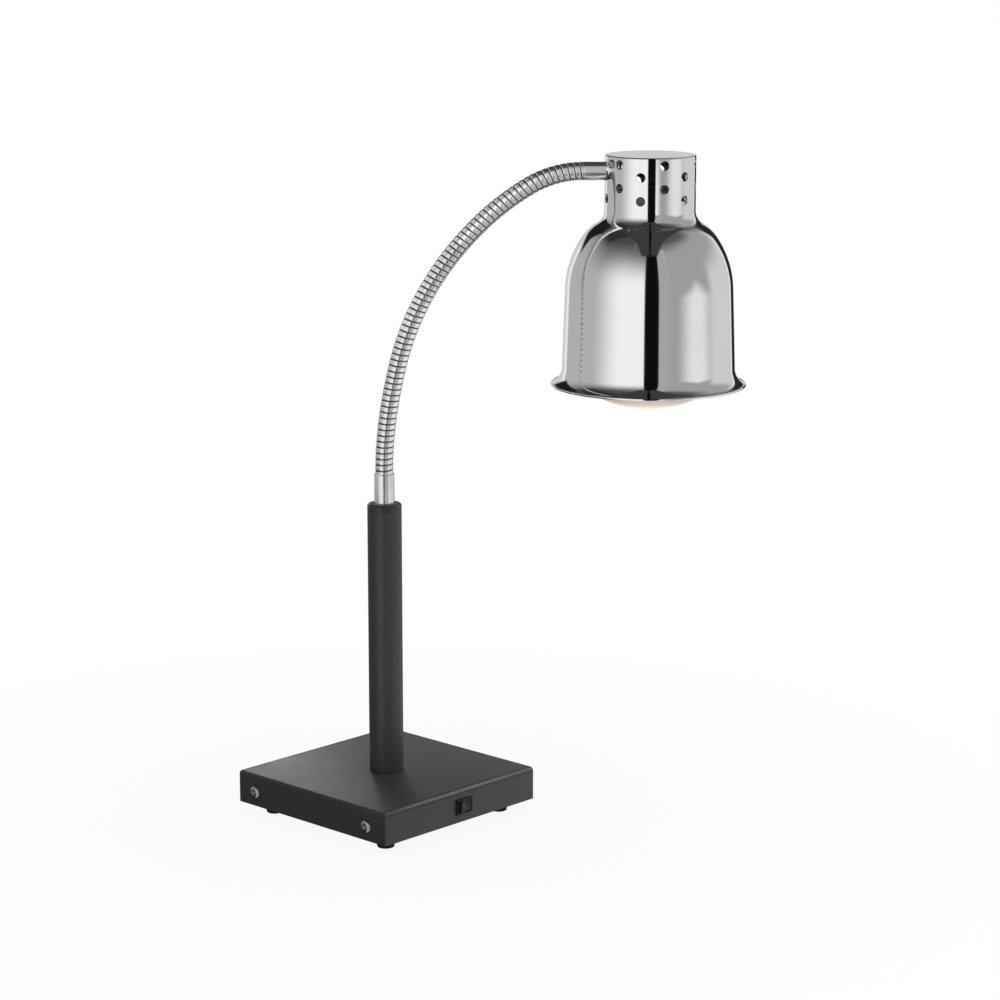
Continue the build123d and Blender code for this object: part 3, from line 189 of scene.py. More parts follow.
class ShadeSizes(bpy.types.PropertyGroup):
    """Spun shade with its vents and holes."""
    sheet: size("Sheet", 0.0012, "Thickness of the spun sheet")
    neck_radius: size("Neck radius", 0.0423, "Outside radius of the shade's neck")
    top_edge: size("Top edge", 0.0015, "Outside radius of the top's edge")
    neck_height: size("Neck height", 0.0516, "From the top to where the shade widens")
    throat_radius: size("Throat radius", 0.014, "Radius of the hollow curve under the neck")
    throat_turn: turn("Throat turn", 60, "Angle of the hollow curve under the neck")
    shoulder_radius: size("Shoulder radius", 0.040, "Radius of the shoulder")
    shoulder_turn: turn("Shoulder turn", 25, "Angle of the shoulder")
    side_radius: size("Side radius", 0.090, "Radius of the curved part of the side")
    side_turn: turn("Side turn", 33, "Angle of the curved part of the side")
    side_length: size("Side length", 0.0755, "Length of the straight part of the side")
    flare_radius: size("Flare radius", 0.016, "Radius of the flare at the rim")
    flare_turn: turn("Flare turn", 64, "Angle of the flare at the rim")
    bead_radius: size("Rim bead", 0.0013, "Radius of the rolled rim")
    segments: count("Segments", 240, "Steps round the shade")
    vent_radius: size("Vent radius", 0.0044, "Radius of an air vent")
    vent_drop: size("Vent drop", 0.0071, "From the top to the first row of vents")
    vent_pitch: size("Vent pitch", 0.0108, "From one row of vents to the next")
    vent_columns: count("Vent columns", 12, "Columns of vents round the neck")
    vent_start: turn("Vent start", 13.5, "Angle from the ferrule to the first column")
    screw_turn: turn("Screw angle", 28.5, "Angle from the ferrule to each bracket screw")
    screw_hole: size("Screw hole", 0.0021, "Radius of the holes for the bracket screws")
    seat_gap: size("Seat gap", 0.00005, "Clearance under the screws and the ferrule")


class BulbSizes(bpy.types.PropertyGroup):
    """Reflector bulb, with its outline given upwards from the dome."""
    wall: size("Glass wall", 0.001, "Thickness of the glass")
    dome_radius: size("Dome radius", 0.105, "Radius of the front's dome")
    edge_radius: size("Edge radius", 0.010, "Radius of the edge round the dome")
    radius: size("Radius", 0.0625, "Widest radius")
    body_radius: size("Body radius", 0.110, "Radius of the curve behind the edge")
    body_turn: turn("Body turn", 45, "Angle of the curve behind the edge")
    neck_radius: size("Neck radius", 0.019, "Radius of the bulb's neck")
    neck_top: size("Neck top", 0.146, "Height of the neck's end above the dome")
    stem_radius: size("Stem radius", 0.0122, "Radius of the glass inside the screw cap")
    stem_length: size("Stem length", 0.011, "Length of the glass inside the screw cap")


class SwitchSizes(bpy.types.PropertyGroup):
    """Rocker switch: its bezel, its body and its rocker."""
    bezel_corner: size("Bezel corner", 0.0012, "Rounding of the bezel's corners")
    bezel_edge: size("Bezel edge", 0.0006, "Rounding round the bezel's face")
    body: sizes("Body", (0.019, 0.0145, 0.0127), "Width, depth and height behind the cover")
    gap: size("Gap", 0.0001, "Clearance of the body in the cover")
    pocket: sizes("Pocket", (0.0175, 0.0096, 0.0112), "Width, depth and height inside")
    pocket_corner: size("Pocket corner", 0.0004, "Rounding of the pocket's corners")
    rocker_half: size("Rocker half", 0.0078, "Half the rocker's length")
    rocker_height: size("Rocker height", 0.0106, "Size of the rocker along its axis")
    rocker_drop: size("Rocker drop", 0.0024, "From the axis out to the rocker's middle")
    rocker_dish: size("Rocker dish", 0.00035, "Depth of the hollow in each half")
    rocker_end: size("Rocker end", 0.0005, "From the axis back to the ends' inner corners")
    rocker_back: size("Rocker back", 0.0032, "From the axis back to the inner side")
    rocker_back_half: size("Rocker back half", 0.004, "Half the inner side's length")
    tilt: turn("Tilt", 12, "Angle of the rocker from level, either way")


class GlandSizes(bpy.types.PropertyGroup):
    """Cord gland: its body and its fluted cap."""
    cap_radius: size("Cap radius", 0.0076, "Outside radius of the cap")
    cap_edge: size("Cap edge", 0.003, "Rounding of the cap's end")
    bore: size("Bore", 0.0038, "Radius of the way for the cord")
    lip: size("Lip", 0.0004, "Chamfer at the mouth of the bore")
    flutes: count("Flutes", 12, "Number of flutes round the cap")
    flute_radius: size("Flute radius", 0.0016, "Radius of a flute")
    flute_offset: size("Flute offset", 0.0012, "From the cap's side out to a flute's axis")
    body_half: size("Body half", 0.0085, "From the axis to each of the body's six sides")
    thread_radius: size("Thread radius", 0.006, "Outside radius of the thread")
    thread_length: size("Thread length", 0.010, "Length of the thread inside the cover")
    gap: size("Gap", 0.0001, "Clearance of the thread in the cover")


class FinishColours(bpy.types.PropertyGroup):
    """Colours of the finishes, linear."""
    coat: colour("Powder coat", (0.024, 0.024, 0.025), "Satin coat of base and post")
    chrome: colour("Chrome", (0.88, 0.88, 0.89), "Polished plate of the shade")
    nickel: colour("Nickel", (0.82, 0.82, 0.815), "Satin plate of the neck and ferrules")
    glass: colour("Frosted glass", (0.80, 0.745, 0.735), "Flank of the bulb's front")
    glow: colour("Warm glass", (1.0, 0.70, 0.43), "Middle of the bulb's front")


# Modelling helpers

def start_clean():
    """Leaves edit mode and deselects everything."""
    if bpy.context.object and bpy.context.object.mode != "OBJECT":
        bpy.ops.object.mode_set(mode="OBJECT")
    bpy.ops.object.select_all(action="DESELECT")


def choose(obj):
    """Makes obj the only selected object, and the active one."""
    start_clean()
    obj.select_set(True)
    bpy.context.view_layer.objects.active = obj


def edit(obj):
    """Opens obj in edit mode with nothing selected."""
    choose(obj)
    bpy.ops.object.mode_set(mode="EDIT")
    bpy.ops.mesh.select_mode(type="VERT")
    bpy.ops.mesh.select_all(action="DESELECT")


def close_edit():
    """Merges doubles, turns the faces outwards and leaves edit mode."""
    bpy.ops.mesh.select_all(action="SELECT")
    bpy.ops.mesh.remove_doubles(threshold=1e-6)
    bpy.ops.mesh.normals_make_consistent(inside=False)
    bpy.ops.object.mode_set(mode="OBJECT")


def pick(obj, kind, test):
    """In edit mode, selects the edges or faces whose centre and vertices pass the test."""
    bpy.ops.mesh.select_mode(type=kind)
    bpy.ops.mesh.select_all(action="DESELECT")
    mesh = bmesh.from_edit_mesh(obj.data)
    for element in mesh.edges if kind == "EDGE" else mesh.faces:
        corners = [vertex.co for vertex in element.verts]
        element.select_set(test(sum(corners, Vector()) / len(corners), corners))
    bmesh.update_edit_mesh(obj.data)


def finish_with(obj, kind, **settings):
    """Adds a modifier with these settings and applies it."""
    choose(obj)
    modifier = obj.modifiers.new(kind.lower(), kind)
    for name, value in settings.items():
        setattr(modifier, name, value)
    bpy.ops.object.modifier_apply(modifier=modifier.name)


def cut(obj, tool):
    """Cuts the tool out of obj and removes the tool."""
    finish_with(obj, "BOOLEAN", operation="DIFFERENCE", solver="EXACT", object=tool)
    bpy.data.objects.remove(tool)


def weld(obj, addition):
    """Unites another closed shape with obj and removes it."""
    finish_with(obj, "BOOLEAN", operation="UNION", solver="EXACT", object=addition)
    bpy.data.objects.remove(addition)


def soften(obj, width, segments, angle):
    """Rounds the edges that are sharper than an angle in degrees."""
    finish_with(obj, "BEVEL", width=width, segments=segments, limit_method="ANGLE",
                angle_limit=radians(angle))


def join(name, objects):
    """Joins the objects into one with this name."""
    choose(objects[0])
    for obj in objects[1:]:
        obj.select_set(True)
    bpy.ops.object.join()
    objects[0].name = name
    return objects[0]


def smooth(obj, angle=30):
    """Smooth shading with sharp edges past an angle in degrees."""
    choose(obj)
    bpy.ops.object.shade_smooth_by_angle(angle=radians(angle))


def place(obj, matrix):
    """Puts a piece in its place, with the place in its mesh."""
    obj.matrix_world = matrix
    choose(obj)
    bpy.ops.object.transform_apply(location=True, rotation=True, scale=True)
    return obj


def copies(obj, names, matrices):
    """Copies of a piece, each with its own mesh and name, at these places."""
    made = []
    for name, matrix in zip(names, matrices):
        twin = obj.copy()
        twin.data = obj.data.copy()
        twin.name = name
        bpy.context.scene.collection.objects.link(twin)
        made.append(place(twin, matrix))
    bpy.data.objects.remove(obj)
    return made


def facing(origin, direction, up=UP):
    """Matrix that puts a piece's Z axis along a direction and its Y axis near up."""
    z_axis = Vector(direction).normalized()
    x_axis = Vector(up).cross(z_axis)
    if x_axis.length < 1e-6:
        x_axis = Vector((1, 0, 0))
    x_axis.normalize()
    y_axis = z_axis.cross(x_axis)
    turned_axes = Matrix((x_axis, y_axis, z_axis)).transposed().to_4x4()
    return Matrix.Translation(origin) @ turned_axes


class Outline:
    """Half section of a turned piece: straight runs and arcs of (radius, height) points."""

    def __init__(self, radius, height, heading=0.0):
        self.points = [Vector((radius, 0, height))]
        self.heading = heading

    def run(self, length):
        """Goes straight on."""
        ahead = Vector((cos(self.heading), 0, sin(self.heading)))
        self.points.append(self.points[-1] + ahead * length)
        return self

    def bend(self, radius, angle, step=radians(3)):
        """Turns on an arc: a positive angle turns to the left."""
        steps = max(2, round(abs(angle) / step))
        chord = 2 * radius * sin(abs(angle) / steps / 2)
        for _ in range(steps):
            self.heading += angle / steps / 2
            self.run(chord)
            self.heading += angle / steps / 2
        return self

    def to(self, radius, height):
        """Goes straight to a point."""
        self.points.append(Vector((radius, 0, height)))
        return self


def drawn(name, points):
    """Line of edges through the points, left in edit mode with all of it selected."""
    start_clean()
    bpy.ops.mesh.primitive_plane_add(size=MM, location=(0, 0, 0))
    obj = bpy.context.object
    obj.name = name
    bpy.ops.object.mode_set(mode="EDIT")
    bpy.ops.mesh.select_mode(type="VERT")
    bpy.ops.mesh.select_all(action="SELECT")
    bpy.ops.mesh.merge(type="CENTER")
    bpy.ops.transform.translate(value=points[0])
    for before, after in zip(points, points[1:]):
        bpy.ops.mesh.extrude_region_move(TRANSFORM_OT_translate={"value": after - before})
    bpy.ops.mesh.select_all(action="SELECT")
    return obj


def turned(name, points, segments, centre=(0, 0, 0)):
    """Piece spun about an upright axis from its half section."""
    obj = drawn(name, points)
    bpy.ops.mesh.spin(steps=segments, angle=2 * pi, center=(0, 0, 0), axis=(0, 0, 1))
    close_edit()
    place(obj, Matrix.Translation(centre))
    smooth(obj)
    return obj


def rod(radius, length, matrix, sides=48):
    """Plain round cutter whose axis runs both ways from its place."""
    start_clean()
    bpy.ops.mesh.primitive_cylinder_add(vertices=sides, radius=radius, depth=length)
    return place(bpy.context.object, matrix)


def block(sizes, matrix):
    """Box of three sizes, centred on its place."""
    start_clean()
    bpy.ops.mesh.primitive_cube_add(size=1)
    return place(bpy.context.object, matrix @ Matrix.Diagonal((*sizes, 1)))


def give(obj, body, slot, finish, *nodes):
    """Puts the finish on a piece, hangs it under its body's empty, and hides the CAD nodes that it stands in for.
    """
    obj.data.materials.clear()
    obj.data.materials.append(finish)
    if body:
        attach(obj, body)
    if nodes:
        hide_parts(*nodes)
    return obj


# Shader arithmetic and finishes

class Field:
    """A socket that takes part in sums, products and quotients as a number would."""

    def __init__(self, finish, socket):
        self.finish = finish
        self.socket = socket

    def math(self, operation, *values):
        """Math node on these values."""
        return self.finish.node("ShaderNodeMath", {"operation": operation},
                                dict(enumerate(values)))

    def __add__(self, other):
        return self.math("ADD", self, other)

    def __sub__(self, other):
        return self.math("SUBTRACT", self, other)

    def __rsub__(self, other):
        return self.math("SUBTRACT", other, self)

    def __mul__(self, other):
        return self.math("MULTIPLY", self, other)

    def __truediv__(self, other):
        return self.math("DIVIDE", self, other)

    __radd__ = __add__
    __rmul__ = __mul__


class Finish:
    """A node tree that is being written: a material's, or the world's."""

    def __init__(self, owner):
        owner.use_nodes = True
        self.tree = owner.node_tree
        self.tree.nodes.clear()

    def node(self, kind, settings=None, inputs=None, output=0):
        """Adds a node: its settings first, then the values or links of its sockets."""
        made = self.tree.nodes.new(kind)
        for name, value in (settings or {}).items():
            setattr(made, name, value)
        for name, value in (inputs or {}).items():
            if isinstance(value, Field):
                self.tree.links.new(value.socket, made.inputs[name])
            else:
                made.inputs[name].default_value = value
        return Field(self, made.outputs[output]) if made.outputs else None

    def place(self):
        """Object coordinates."""
        return self.node("ShaderNodeTexCoord", output="Object")

    def axes(self, vector):
        """A vector's three parts."""
        split = self.node("ShaderNodeSeparateXYZ", inputs={0: vector}).socket.node
        return [Field(self, split.outputs[index]) for index in range(3)]

    def stretched(self, scale, location=(0, 0, 0)):
        """Object coordinates with a scale for each axis."""
        return self.node("ShaderNodeMapping", {}, {"Vector": self.place(), "Scale": scale,
                                                   "Location": location})

    def noise(self, scale, detail=3.0, vector=None):
        """Noise from 0 to 1, whose scale is in waves per metre."""
        return self.node("ShaderNodeTexNoise", {}, {
            "Vector": vector or self.place(), "Scale": scale, "Detail": detail}, output="Fac")

    def window(self, value, low, high, soft):
        """1 between low and high, and 0 outside, with soft edges."""
        return (self.ramp(value, low - soft, low + soft)
                * self.ramp(value, high + soft, high - soft))

    def ramp(self, value, low, high, to_low=0.0, to_high=1.0):
        """Smooth step of a value from one range to another."""
        return self.node("ShaderNodeMapRange", {"interpolation_type": "SMOOTHSTEP"}, {
            "Value": value, "From Min": low, "From Max": high, "To Min": to_low,
            "To Max": to_high})

    def mix(self, factor, first, second):
        """Colour between two colours."""
        return self.node("ShaderNodeMix", {"data_type": "RGBA"}, {
            0: factor, 6: first, 7: second}, output=2)

    def bump(self, height, distance):
        """Normal from a height field, whose distance is in metres."""
        return self.node("ShaderNodeBump", {}, {
            "Height": height, "Distance": distance, "Strength": 1.0}, output="Normal")

    def length(self, x, y):
        """Length of a vector from its two parts."""
        return self.node("ShaderNodeMath", {"operation": "SQRT"}, {0: x * x + y * y})

    def rays(self, *kinds):
        """For each kind of ray, 1 where that kind looks and 0 elsewhere."""
        path = self.node("ShaderNodeLightPath").socket.node
        return [Field(self, path.outputs[kind]) for kind in kinds]


def rgba(values, factor=1.0):
    """Colour with full opacity, lighter or darker by a factor."""
    return tuple(min(1.0, channel * factor) for channel in values) + (1.0,)


def material(name, **sockets):
    """New material with one principled shader. Sockets are named as in Blender, with _."""
    made = bpy.data.materials.new(name)
    finish = Finish(made)
    shader = finish.node("ShaderNodeBsdfPrincipled")
    finish.node("ShaderNodeOutputMaterial", {}, {"Surface": shader})
    finish.shader = shader.socket.node
    finish.material = made
    for key, value in sockets.items():
        dress_socket(finish, key.replace("_", " "), value)
    return finish


def dress_socket(finish, name, value):
    """Sets or links one socket of the principled shader."""
    if isinstance(value, Field):
        finish.tree.links.new(value.socket, finish.shader.inputs[name])
    else:
        finish.shader.inputs[name].default_value = value


def powder_coat(colours):
    """Dark satin powder coat: fine orange peel and a soft mottle."""
    finish = material("satin_powder_coat", Metallic=0.0, IOR=1.5)
    mottle = finish.noise(38, 3.0)
    grain = finish.noise(1500, 2.0)
    peel = finish.noise(420, 2.0)
    dress_socket(finish, "Base Color", finish.mix(
        mottle * 0.7 + grain * 0.3, rgba(colours.coat, 0.78), rgba(colours.coat, 1.28)))
    dress_socket(finish, "Roughness", 0.33 + mottle * 0.10 + grain * 0.06)
    dress_socket(finish, "Normal", finish.bump(peel + grain * 0.4, 0.00003))
    return finish.material


def polished_chrome(colours):
    """Mirror plate with the faint rings that spinning leaves, and a breath of haze."""
    finish = material("polished_chrome", Metallic=1.0)
    haze = finish.noise(26, 3.0)
    rings = finish.noise(1.0, 2.0, finish.stretched((6, 6, 900)))
    dress_socket(finish, "Base Color", finish.mix(
        haze, rgba(colours.chrome, 0.97), rgba(colours.chrome, 1.03)))
    dress_socket(finish, "Roughness", 0.035 + haze * 0.03 + rings * 0.015)
    dress_socket(finish, "Normal", finish.bump(rings, 0.0000015))
    return finish.material


def bright_nickel(name, colours, seam_colour_and_shade=False):
    """Bright plate of the neck and ferrules; the winding's seams are painted dark, partly their own colour and
    partly painted shade in the grooves.
    """
    finish = material(name, Metallic=1.0)
    cloud = finish.noise(60, 3.0)
    brushed = finish.noise(1.0, 2.0, finish.stretched((40, 40, 1500)))
    shade = finish.mix(cloud * 0.6 + brushed * 0.4, rgba(colours.nickel, 0.95),
                       rgba(colours.nickel, 1.05))
    roughness = 0.20 + cloud * 0.04 + brushed * 0.02
    if seam_colour_and_shade:
        # Darkens the grooves between turns: partly the seams' own dark colour, partly painted shade.
        seam = finish.node("ShaderNodeAttribute", {"attribute_name": "seam"}, output="Fac")
        shade = finish.mix(seam, shade, (0.07, 0.07, 0.072, 1))
        roughness = roughness + seam * 0.3
    dress_socket(finish, "Base Color", shade)
    dress_socket(finish, "Roughness", roughness)
    dress_socket(finish, "Normal", finish.bump(cloud, 0.000002))
    return finish.material


def zinc_plate():
    """Dull zinc plate with a spangle."""
    finish = material("zinc_plate", Metallic=1.0)
    spangle = finish.node("ShaderNodeTexVoronoi", {"feature": "F1"}, {
        "Vector": finish.place(), "Scale": 260.0}, output="Color")
    light = finish.axes(spangle)[0]
    fine = finish.noise(900, 3.0)
    dress_socket(finish, "Base Color", finish.mix(
        light * 0.5 + fine * 0.5, (0.40, 0.41, 0.43, 1), (0.62, 0.63, 0.64, 1)))
    dress_socket(finish, "Roughness", 0.34 + light * 0.10 + fine * 0.08)
    dress_socket(finish, "Normal", finish.bump(fine, 0.00001))
    return finish.material


def turned_steel():
    """Bright steel of the screws that show, with a slight grain."""
    finish = material("turned_steel", Metallic=1.0)
    grain = finish.noise(900, 3.0)
    cloud = finish.noise(260, 2.0)
    dress_socket(finish, "Base Color", finish.mix(
        cloud * 0.6 + grain * 0.4, (0.38, 0.38, 0.385, 1), (0.56, 0.56, 0.565, 1)))
    dress_socket(finish, "Roughness", 0.26 + cloud * 0.10)
    dress_socket(finish, "Normal", finish.bump(grain, 0.000004))
    return finish.material


def cast_iron():
    """Raw iron plate with a grainy skin."""
    finish = material("cast_iron", Metallic=0.6)
    grain = finish.noise(700, 5.0)
    cloud = finish.noise(45, 3.0)
    dress_socket(finish, "Base Color", finish.mix(
        cloud, (0.06, 0.058, 0.056, 1), (0.14, 0.13, 0.125, 1)))
    dress_socket(finish, "Roughness", 0.55 + grain * 0.2)
    dress_socket(finish, "Normal", finish.bump(grain, 0.0001))
    return finish.material


def moulded(name, tint, roughness, grain_depth, grain_scale=900.0, sheen=0.5):
    """Moulded plastic or rubber: an even colour with a fine grain and worn lighter places."""
    finish = material(name, Metallic=0.0, IOR=1.5, Specular_IOR_Level=sheen)
    grain = finish.noise(grain_scale, 2.0)
    cloud = finish.noise(120, 2.0)
    dress_socket(finish, "Base Color", finish.mix(
        cloud * 0.7 + grain * 0.3, rgba(tint, 0.85), rgba(tint, 1.2)))
    dress_socket(finish, "Roughness", roughness - 0.05 + cloud * 0.1)
    dress_socket(finish, "Normal", finish.bump(grain, grain_depth))
    return finish.material


def brass():
    """Plain brass, a little dulled."""
    finish = material("brass", Metallic=1.0)
    cloud = finish.noise(180, 4.0)
    dress_socket(finish, "Base Color", finish.mix(
        cloud, (0.56, 0.40, 0.16, 1), (0.78, 0.60, 0.28, 1)))
    dress_socket(finish, "Roughness", 0.25 + cloud * 0.15)
    return finish.material


def porcelain():
    """White glazed porcelain with a soft wave in the glaze."""
    finish = material("glazed_porcelain", Coat_Roughness=0.05, IOR=1.5)
    wave = finish.noise(70, 2.0)
    speck = finish.noise(1200, 1.0)
    dress_socket(finish, "Base Color", finish.mix(
        wave * 0.6 + speck * 0.4, (0.76, 0.74, 0.69, 1), (0.86, 0.85, 0.81, 1)))
    dress_socket(finish, "Roughness", 0.16 + wave * 0.1)
    dress_socket(finish, "Coat Weight", 0.5 + wave * 0.3)
    dress_socket(finish, "Normal", finish.bump(wave, 0.0001))
    return finish.material


def cap_aluminium():
    """Rolled aluminium of the bulb's screw cap."""
    finish = material("cap_aluminium", Metallic=1.0)
    rolled = finish.noise(1.0, 2.0, finish.stretched((120, 120, 1800)))
    dress_socket(finish, "Base Color", finish.mix(
        rolled, (0.60, 0.60, 0.60, 1), (0.80, 0.80, 0.80, 1)))
    dress_socket(finish, "Roughness", 0.28 + rolled * 0.14)
    return finish.material


def sleeved(name, tint):
    """Insulation of a lead, with the fine braid of a heat-proof sleeve."""
    finish = material(name, Metallic=0.0)
    fine = finish.node("ShaderNodeTexChecker", {}, {
        "Vector": finish.place(), "Scale": 2400.0}, output="Fac")
    cloud = finish.noise(160, 2.0)
    dress_socket(finish, "Base Color", finish.mix(
        fine * 0.5 + cloud * 0.5, rgba(tint, 0.8), rgba(tint, 1.25)))
    dress_socket(finish, "Roughness", 0.5 + cloud * 0.15)
    dress_socket(finish, "Normal", finish.bump(fine, 0.00005))
    return finish.material


def lamp_glass(colours):
    """Frosted front with a warm middle, and a silvered body behind the widest place."""
    finish = material("lamp_glass", IOR=1.5, Coat_Roughness=0.08)
    x, y, z = finish.axes(finish.stretched(
        (1, 1, 1), (-HEAD_CENTRE.x, -HEAD_CENTRE.y, -BULB_APEX)))
    warm_start, warm_end = 0.020, 0.052
    silver_start, silver_end = 0.027, 0.031
    frost = finish.noise(700, 3.0)
    warm = finish.ramp(finish.length(x, y), warm_start, warm_end, 1.0, 0.0)
    front = finish.ramp(z, silver_start, silver_end, 1.0, 0.0)
    tint = finish.mix(warm * 0.9 + frost * 0.1, rgba(colours.glass), rgba(colours.glow))
    dress_socket(finish, "Base Color", finish.mix(front, (0.78, 0.78, 0.78, 1), tint))
    dress_socket(finish, "Metallic", 1 - front)
    dress_socket(finish, "Roughness", front * (0.28 + frost * 0.1) + (1 - front) * 0.12)
    dress_socket(finish, "Coat Weight", front * 0.4)
    dress_socket(finish, "Emission Color", finish.mix(
        front * (warm * 0.86 + 0.14), (0, 0, 0, 1), rgba(colours.glow)))
    dress_socket(finish, "Emission Strength", 1.0)
    dress_socket(finish, "Normal", finish.bump(frost * front, 0.00002))
    return finish.material


FINISHES = {}


def make_finishes(colours):
    """All finishes, under the record's slot names, and the winding's own."""
    FINISHES.update({
        "dark_coat": powder_coat(colours),
        "chrome": polished_chrome(colours),
        "neck_steel": bright_nickel("bright_nickel", colours),
        "neck_winding": bright_nickel("wound_nickel", colours, seam_colour_and_shade=True),
        "zinc_steel": zinc_plate(),
        "screw_steel": turned_steel(),
        "ballast_iron": cast_iron(),
        "foot_rubber": moulded("foot_rubber", (0.010, 0.010, 0.010), 0.72, 0.00008,
                               sheen=0.2),
        "switch_plastic": moulded("switch_plastic", (0.009, 0.009, 0.010), 0.30, 0.00001,
                                  sheen=0.25),
        "gland_plastic": moulded("gland_plastic", (0.016, 0.016, 0.016), 0.50, 0.00003),
        "block_plastic": moulded("block_plastic", (0.74, 0.73, 0.69), 0.45, 0.00003),
        "brass": brass(),
        "porcelain": porcelain(),
        "lamp_glass": lamp_glass(colours),
        "cap_metal": cap_aluminium(),
        "lead_sheath": moulded("lead_sheath", (0.02, 0.02, 0.02), 0.55, 0.00003, 1500.0),
        "core_brown": sleeved("core_brown", (0.20, 0.08, 0.03)),
        "core_black": sleeved("core_black", (0.02, 0.02, 0.02)),
        "core_blue": sleeved("core_blue", (0.03, 0.10, 0.34)),
        "core_green": sleeved("core_green", (0.20, 0.42, 0.08)),
    })


# Operators, one for each piece or group of like pieces

class HEATLAMP_OT_finishes(bpy.types.Operator):
    """Makes the materials and puts them on the CAD nodes"""
    bl_idname = "heat_lamp.finishes"
    bl_label = "Finishes"
    bl_options = {"REGISTER", "UNDO"}

    def execute(self, context):
        make_finishes(context.scene.heat_lamp.colours)
        for row in frame["record"]["subparts"]:
            node = frame["nodes"][row["node"]]
            node.data.materials.clear()
            node.data.materials.append(FINISHES[row["material_slot"]])
        return {"FINISHED"}


class HEATLAMP_OT_cover(bpy.types.Operator):
    """Folds the base cover from sheet, with its bends and holes"""
    bl_idname = "heat_lamp.cover"
    bl_label = "Base cover"
    bl_options = {"REGISTER", "UNDO"}

    def execute(self, context):
        lamp = context.scene.heat_lamp
        base = lamp.base
        fold = Outline(COVER_HIGH.y, COVER_LOW.z, pi / 2)
        fold.run(COVER_HIGH.z - COVER_LOW.z - base.long_bend)
        fold.bend(base.long_bend, pi / 2, radians(7.5))
        fold.run(COVER_HIGH.y - COVER_LOW.y - 2 * base.long_bend)
        fold.bend(base.long_bend, pi / 2, radians(7.5))
        fold.run(COVER_HIGH.z - COVER_LOW.z - base.long_bend)
        cover = drawn("base_cover_sheet",
                      [Vector((COVER_LOW.x, point.x, point.z)) for point in fold.points])
        length = Vector((COVER_HIGH.x - COVER_LOW.x, 0, 0))
        bpy.ops.mesh.extrude_region_move(TRANSFORM_OT_translate={"value": length})
        for end in (COVER_LOW.x, COVER_HIGH.x):
            pick(cover, "EDGE", lambda centre, _: abs(centre.x - end) < 1e-6)
            bpy.ops.mesh.edge_face_add()
        close_edit()
        finish_with(cover, "SOLIDIFY", thickness=base.sheet, offset=-1, use_even_offset=True)
        edit(cover)
        pick(cover, "EDGE", lambda centre, corners: centre.z > COVER_LOW.z + 1e-5
             and all(abs(corner.x) > COVER_HIGH.x - 1e-6 for corner in corners))
        bpy.ops.mesh.bevel(offset=base.end_edge, segments=5, affect="EDGES")
        close_edit()
        self.cut_holes(cover, lamp)
        smooth(cover)
        give(cover, "stand", "dark_coat", FINISHES["dark_coat"], "base_cover")
        return {"FINISHED"}

    def cut_holes(self, cover, lamp):
        """Cuts the openings for the post's bolt, the switch, the gland and the screws."""
        base, switch, gland = lamp.base, lamp.switch, lamp.gland
        through = 4 * base.sheet
        bolt_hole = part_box("post_bolt")[1].x + base.hole_gap
        cut(cover, rod(bolt_hole, through, Matrix.Translation((0, 0, COVER_HIGH.z))))
        width, _, height = switch.body
        seat = Vector((SWITCH_CENTRE.x, COVER_LOW.y, SWITCH_CENTRE.z))
        cut(cover, block((width + 2 * switch.gap, through, height + 2 * switch.gap),
                         Matrix.Translation(seat)))
        seat = Vector((GLAND_CENTRE.x, COVER_HIGH.y, GLAND_CENTRE.z))
        cut(cover, rod(gland.thread_radius + gland.gap, through, facing(seat, (0, 1, 0))))
        screw_hole = lamp.screws.cover[2] + base.hole_gap
        for side, end in CORNERS:
            seat = cover_screw_seat(lamp.screws, side, end)
            cut(cover, rod(screw_hole, through, facing(seat, (side, 0, 0))))


def cover_screw_seat(screws, side, end):
    """Where a cover screw's head sits, on the end face."""
    low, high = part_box("cover_screws")
    spacing = (high.y - low.y) / 2 - screws.cover[0]
    return Vector((side * COVER_HIGH.x, end * spacing, (low.z + high.z) / 2))


def pan_screw(head_radius, head_height, shank_radius, shank_length):
    """Pan-head screw with a tapered cross recess, seated at the origin, its head along Z."""
    dome = 0.75 * head_height
    chamfer = 0.0001
    steps = 12
    outline = Outline(shank_radius, -shank_length, pi / 2)
    outline.run(shank_length).to(head_radius - chamfer, 0)
    outline.to(head_radius, chamfer).to(head_radius, head_height - dome)
    crown = head_radius - dome
    for step in range(1, steps + 1):
        angle = pi / 2 * step / steps
        outline.to(crown + (head_radius - crown) * cos(angle),
                   head_height - dome + dome * sin(angle))
    outline.to(0, head_height)
    outline.points.insert(0, Vector((0, 0, -shank_length)))
    screw = turned("screw", outline.points, segments=64)
    reach = head_radius * 0.5
    width = head_radius * 0.25
    depth = head_height * 0.6
    taper = (0.5, 0.7, 1)
    for quarter in range(2):
        slot = block((2 * reach, width, 2 * depth),
                     Matrix.Translation((0, 0, head_height)) @ Matrix.Rotation(
                         quarter * pi / 2, 4, "Z"))
        edit(slot)
        pick(slot, "FACE", lambda centre, _: centre.z < head_height - depth / 2)
        bpy.ops.transform.resize(value=taper)
        bpy.ops.object.mode_set(mode="OBJECT")
        cut(screw, slot)
    soften(screw, width=0.00006, segments=2, angle=40)
    smooth(screw)
    return screw


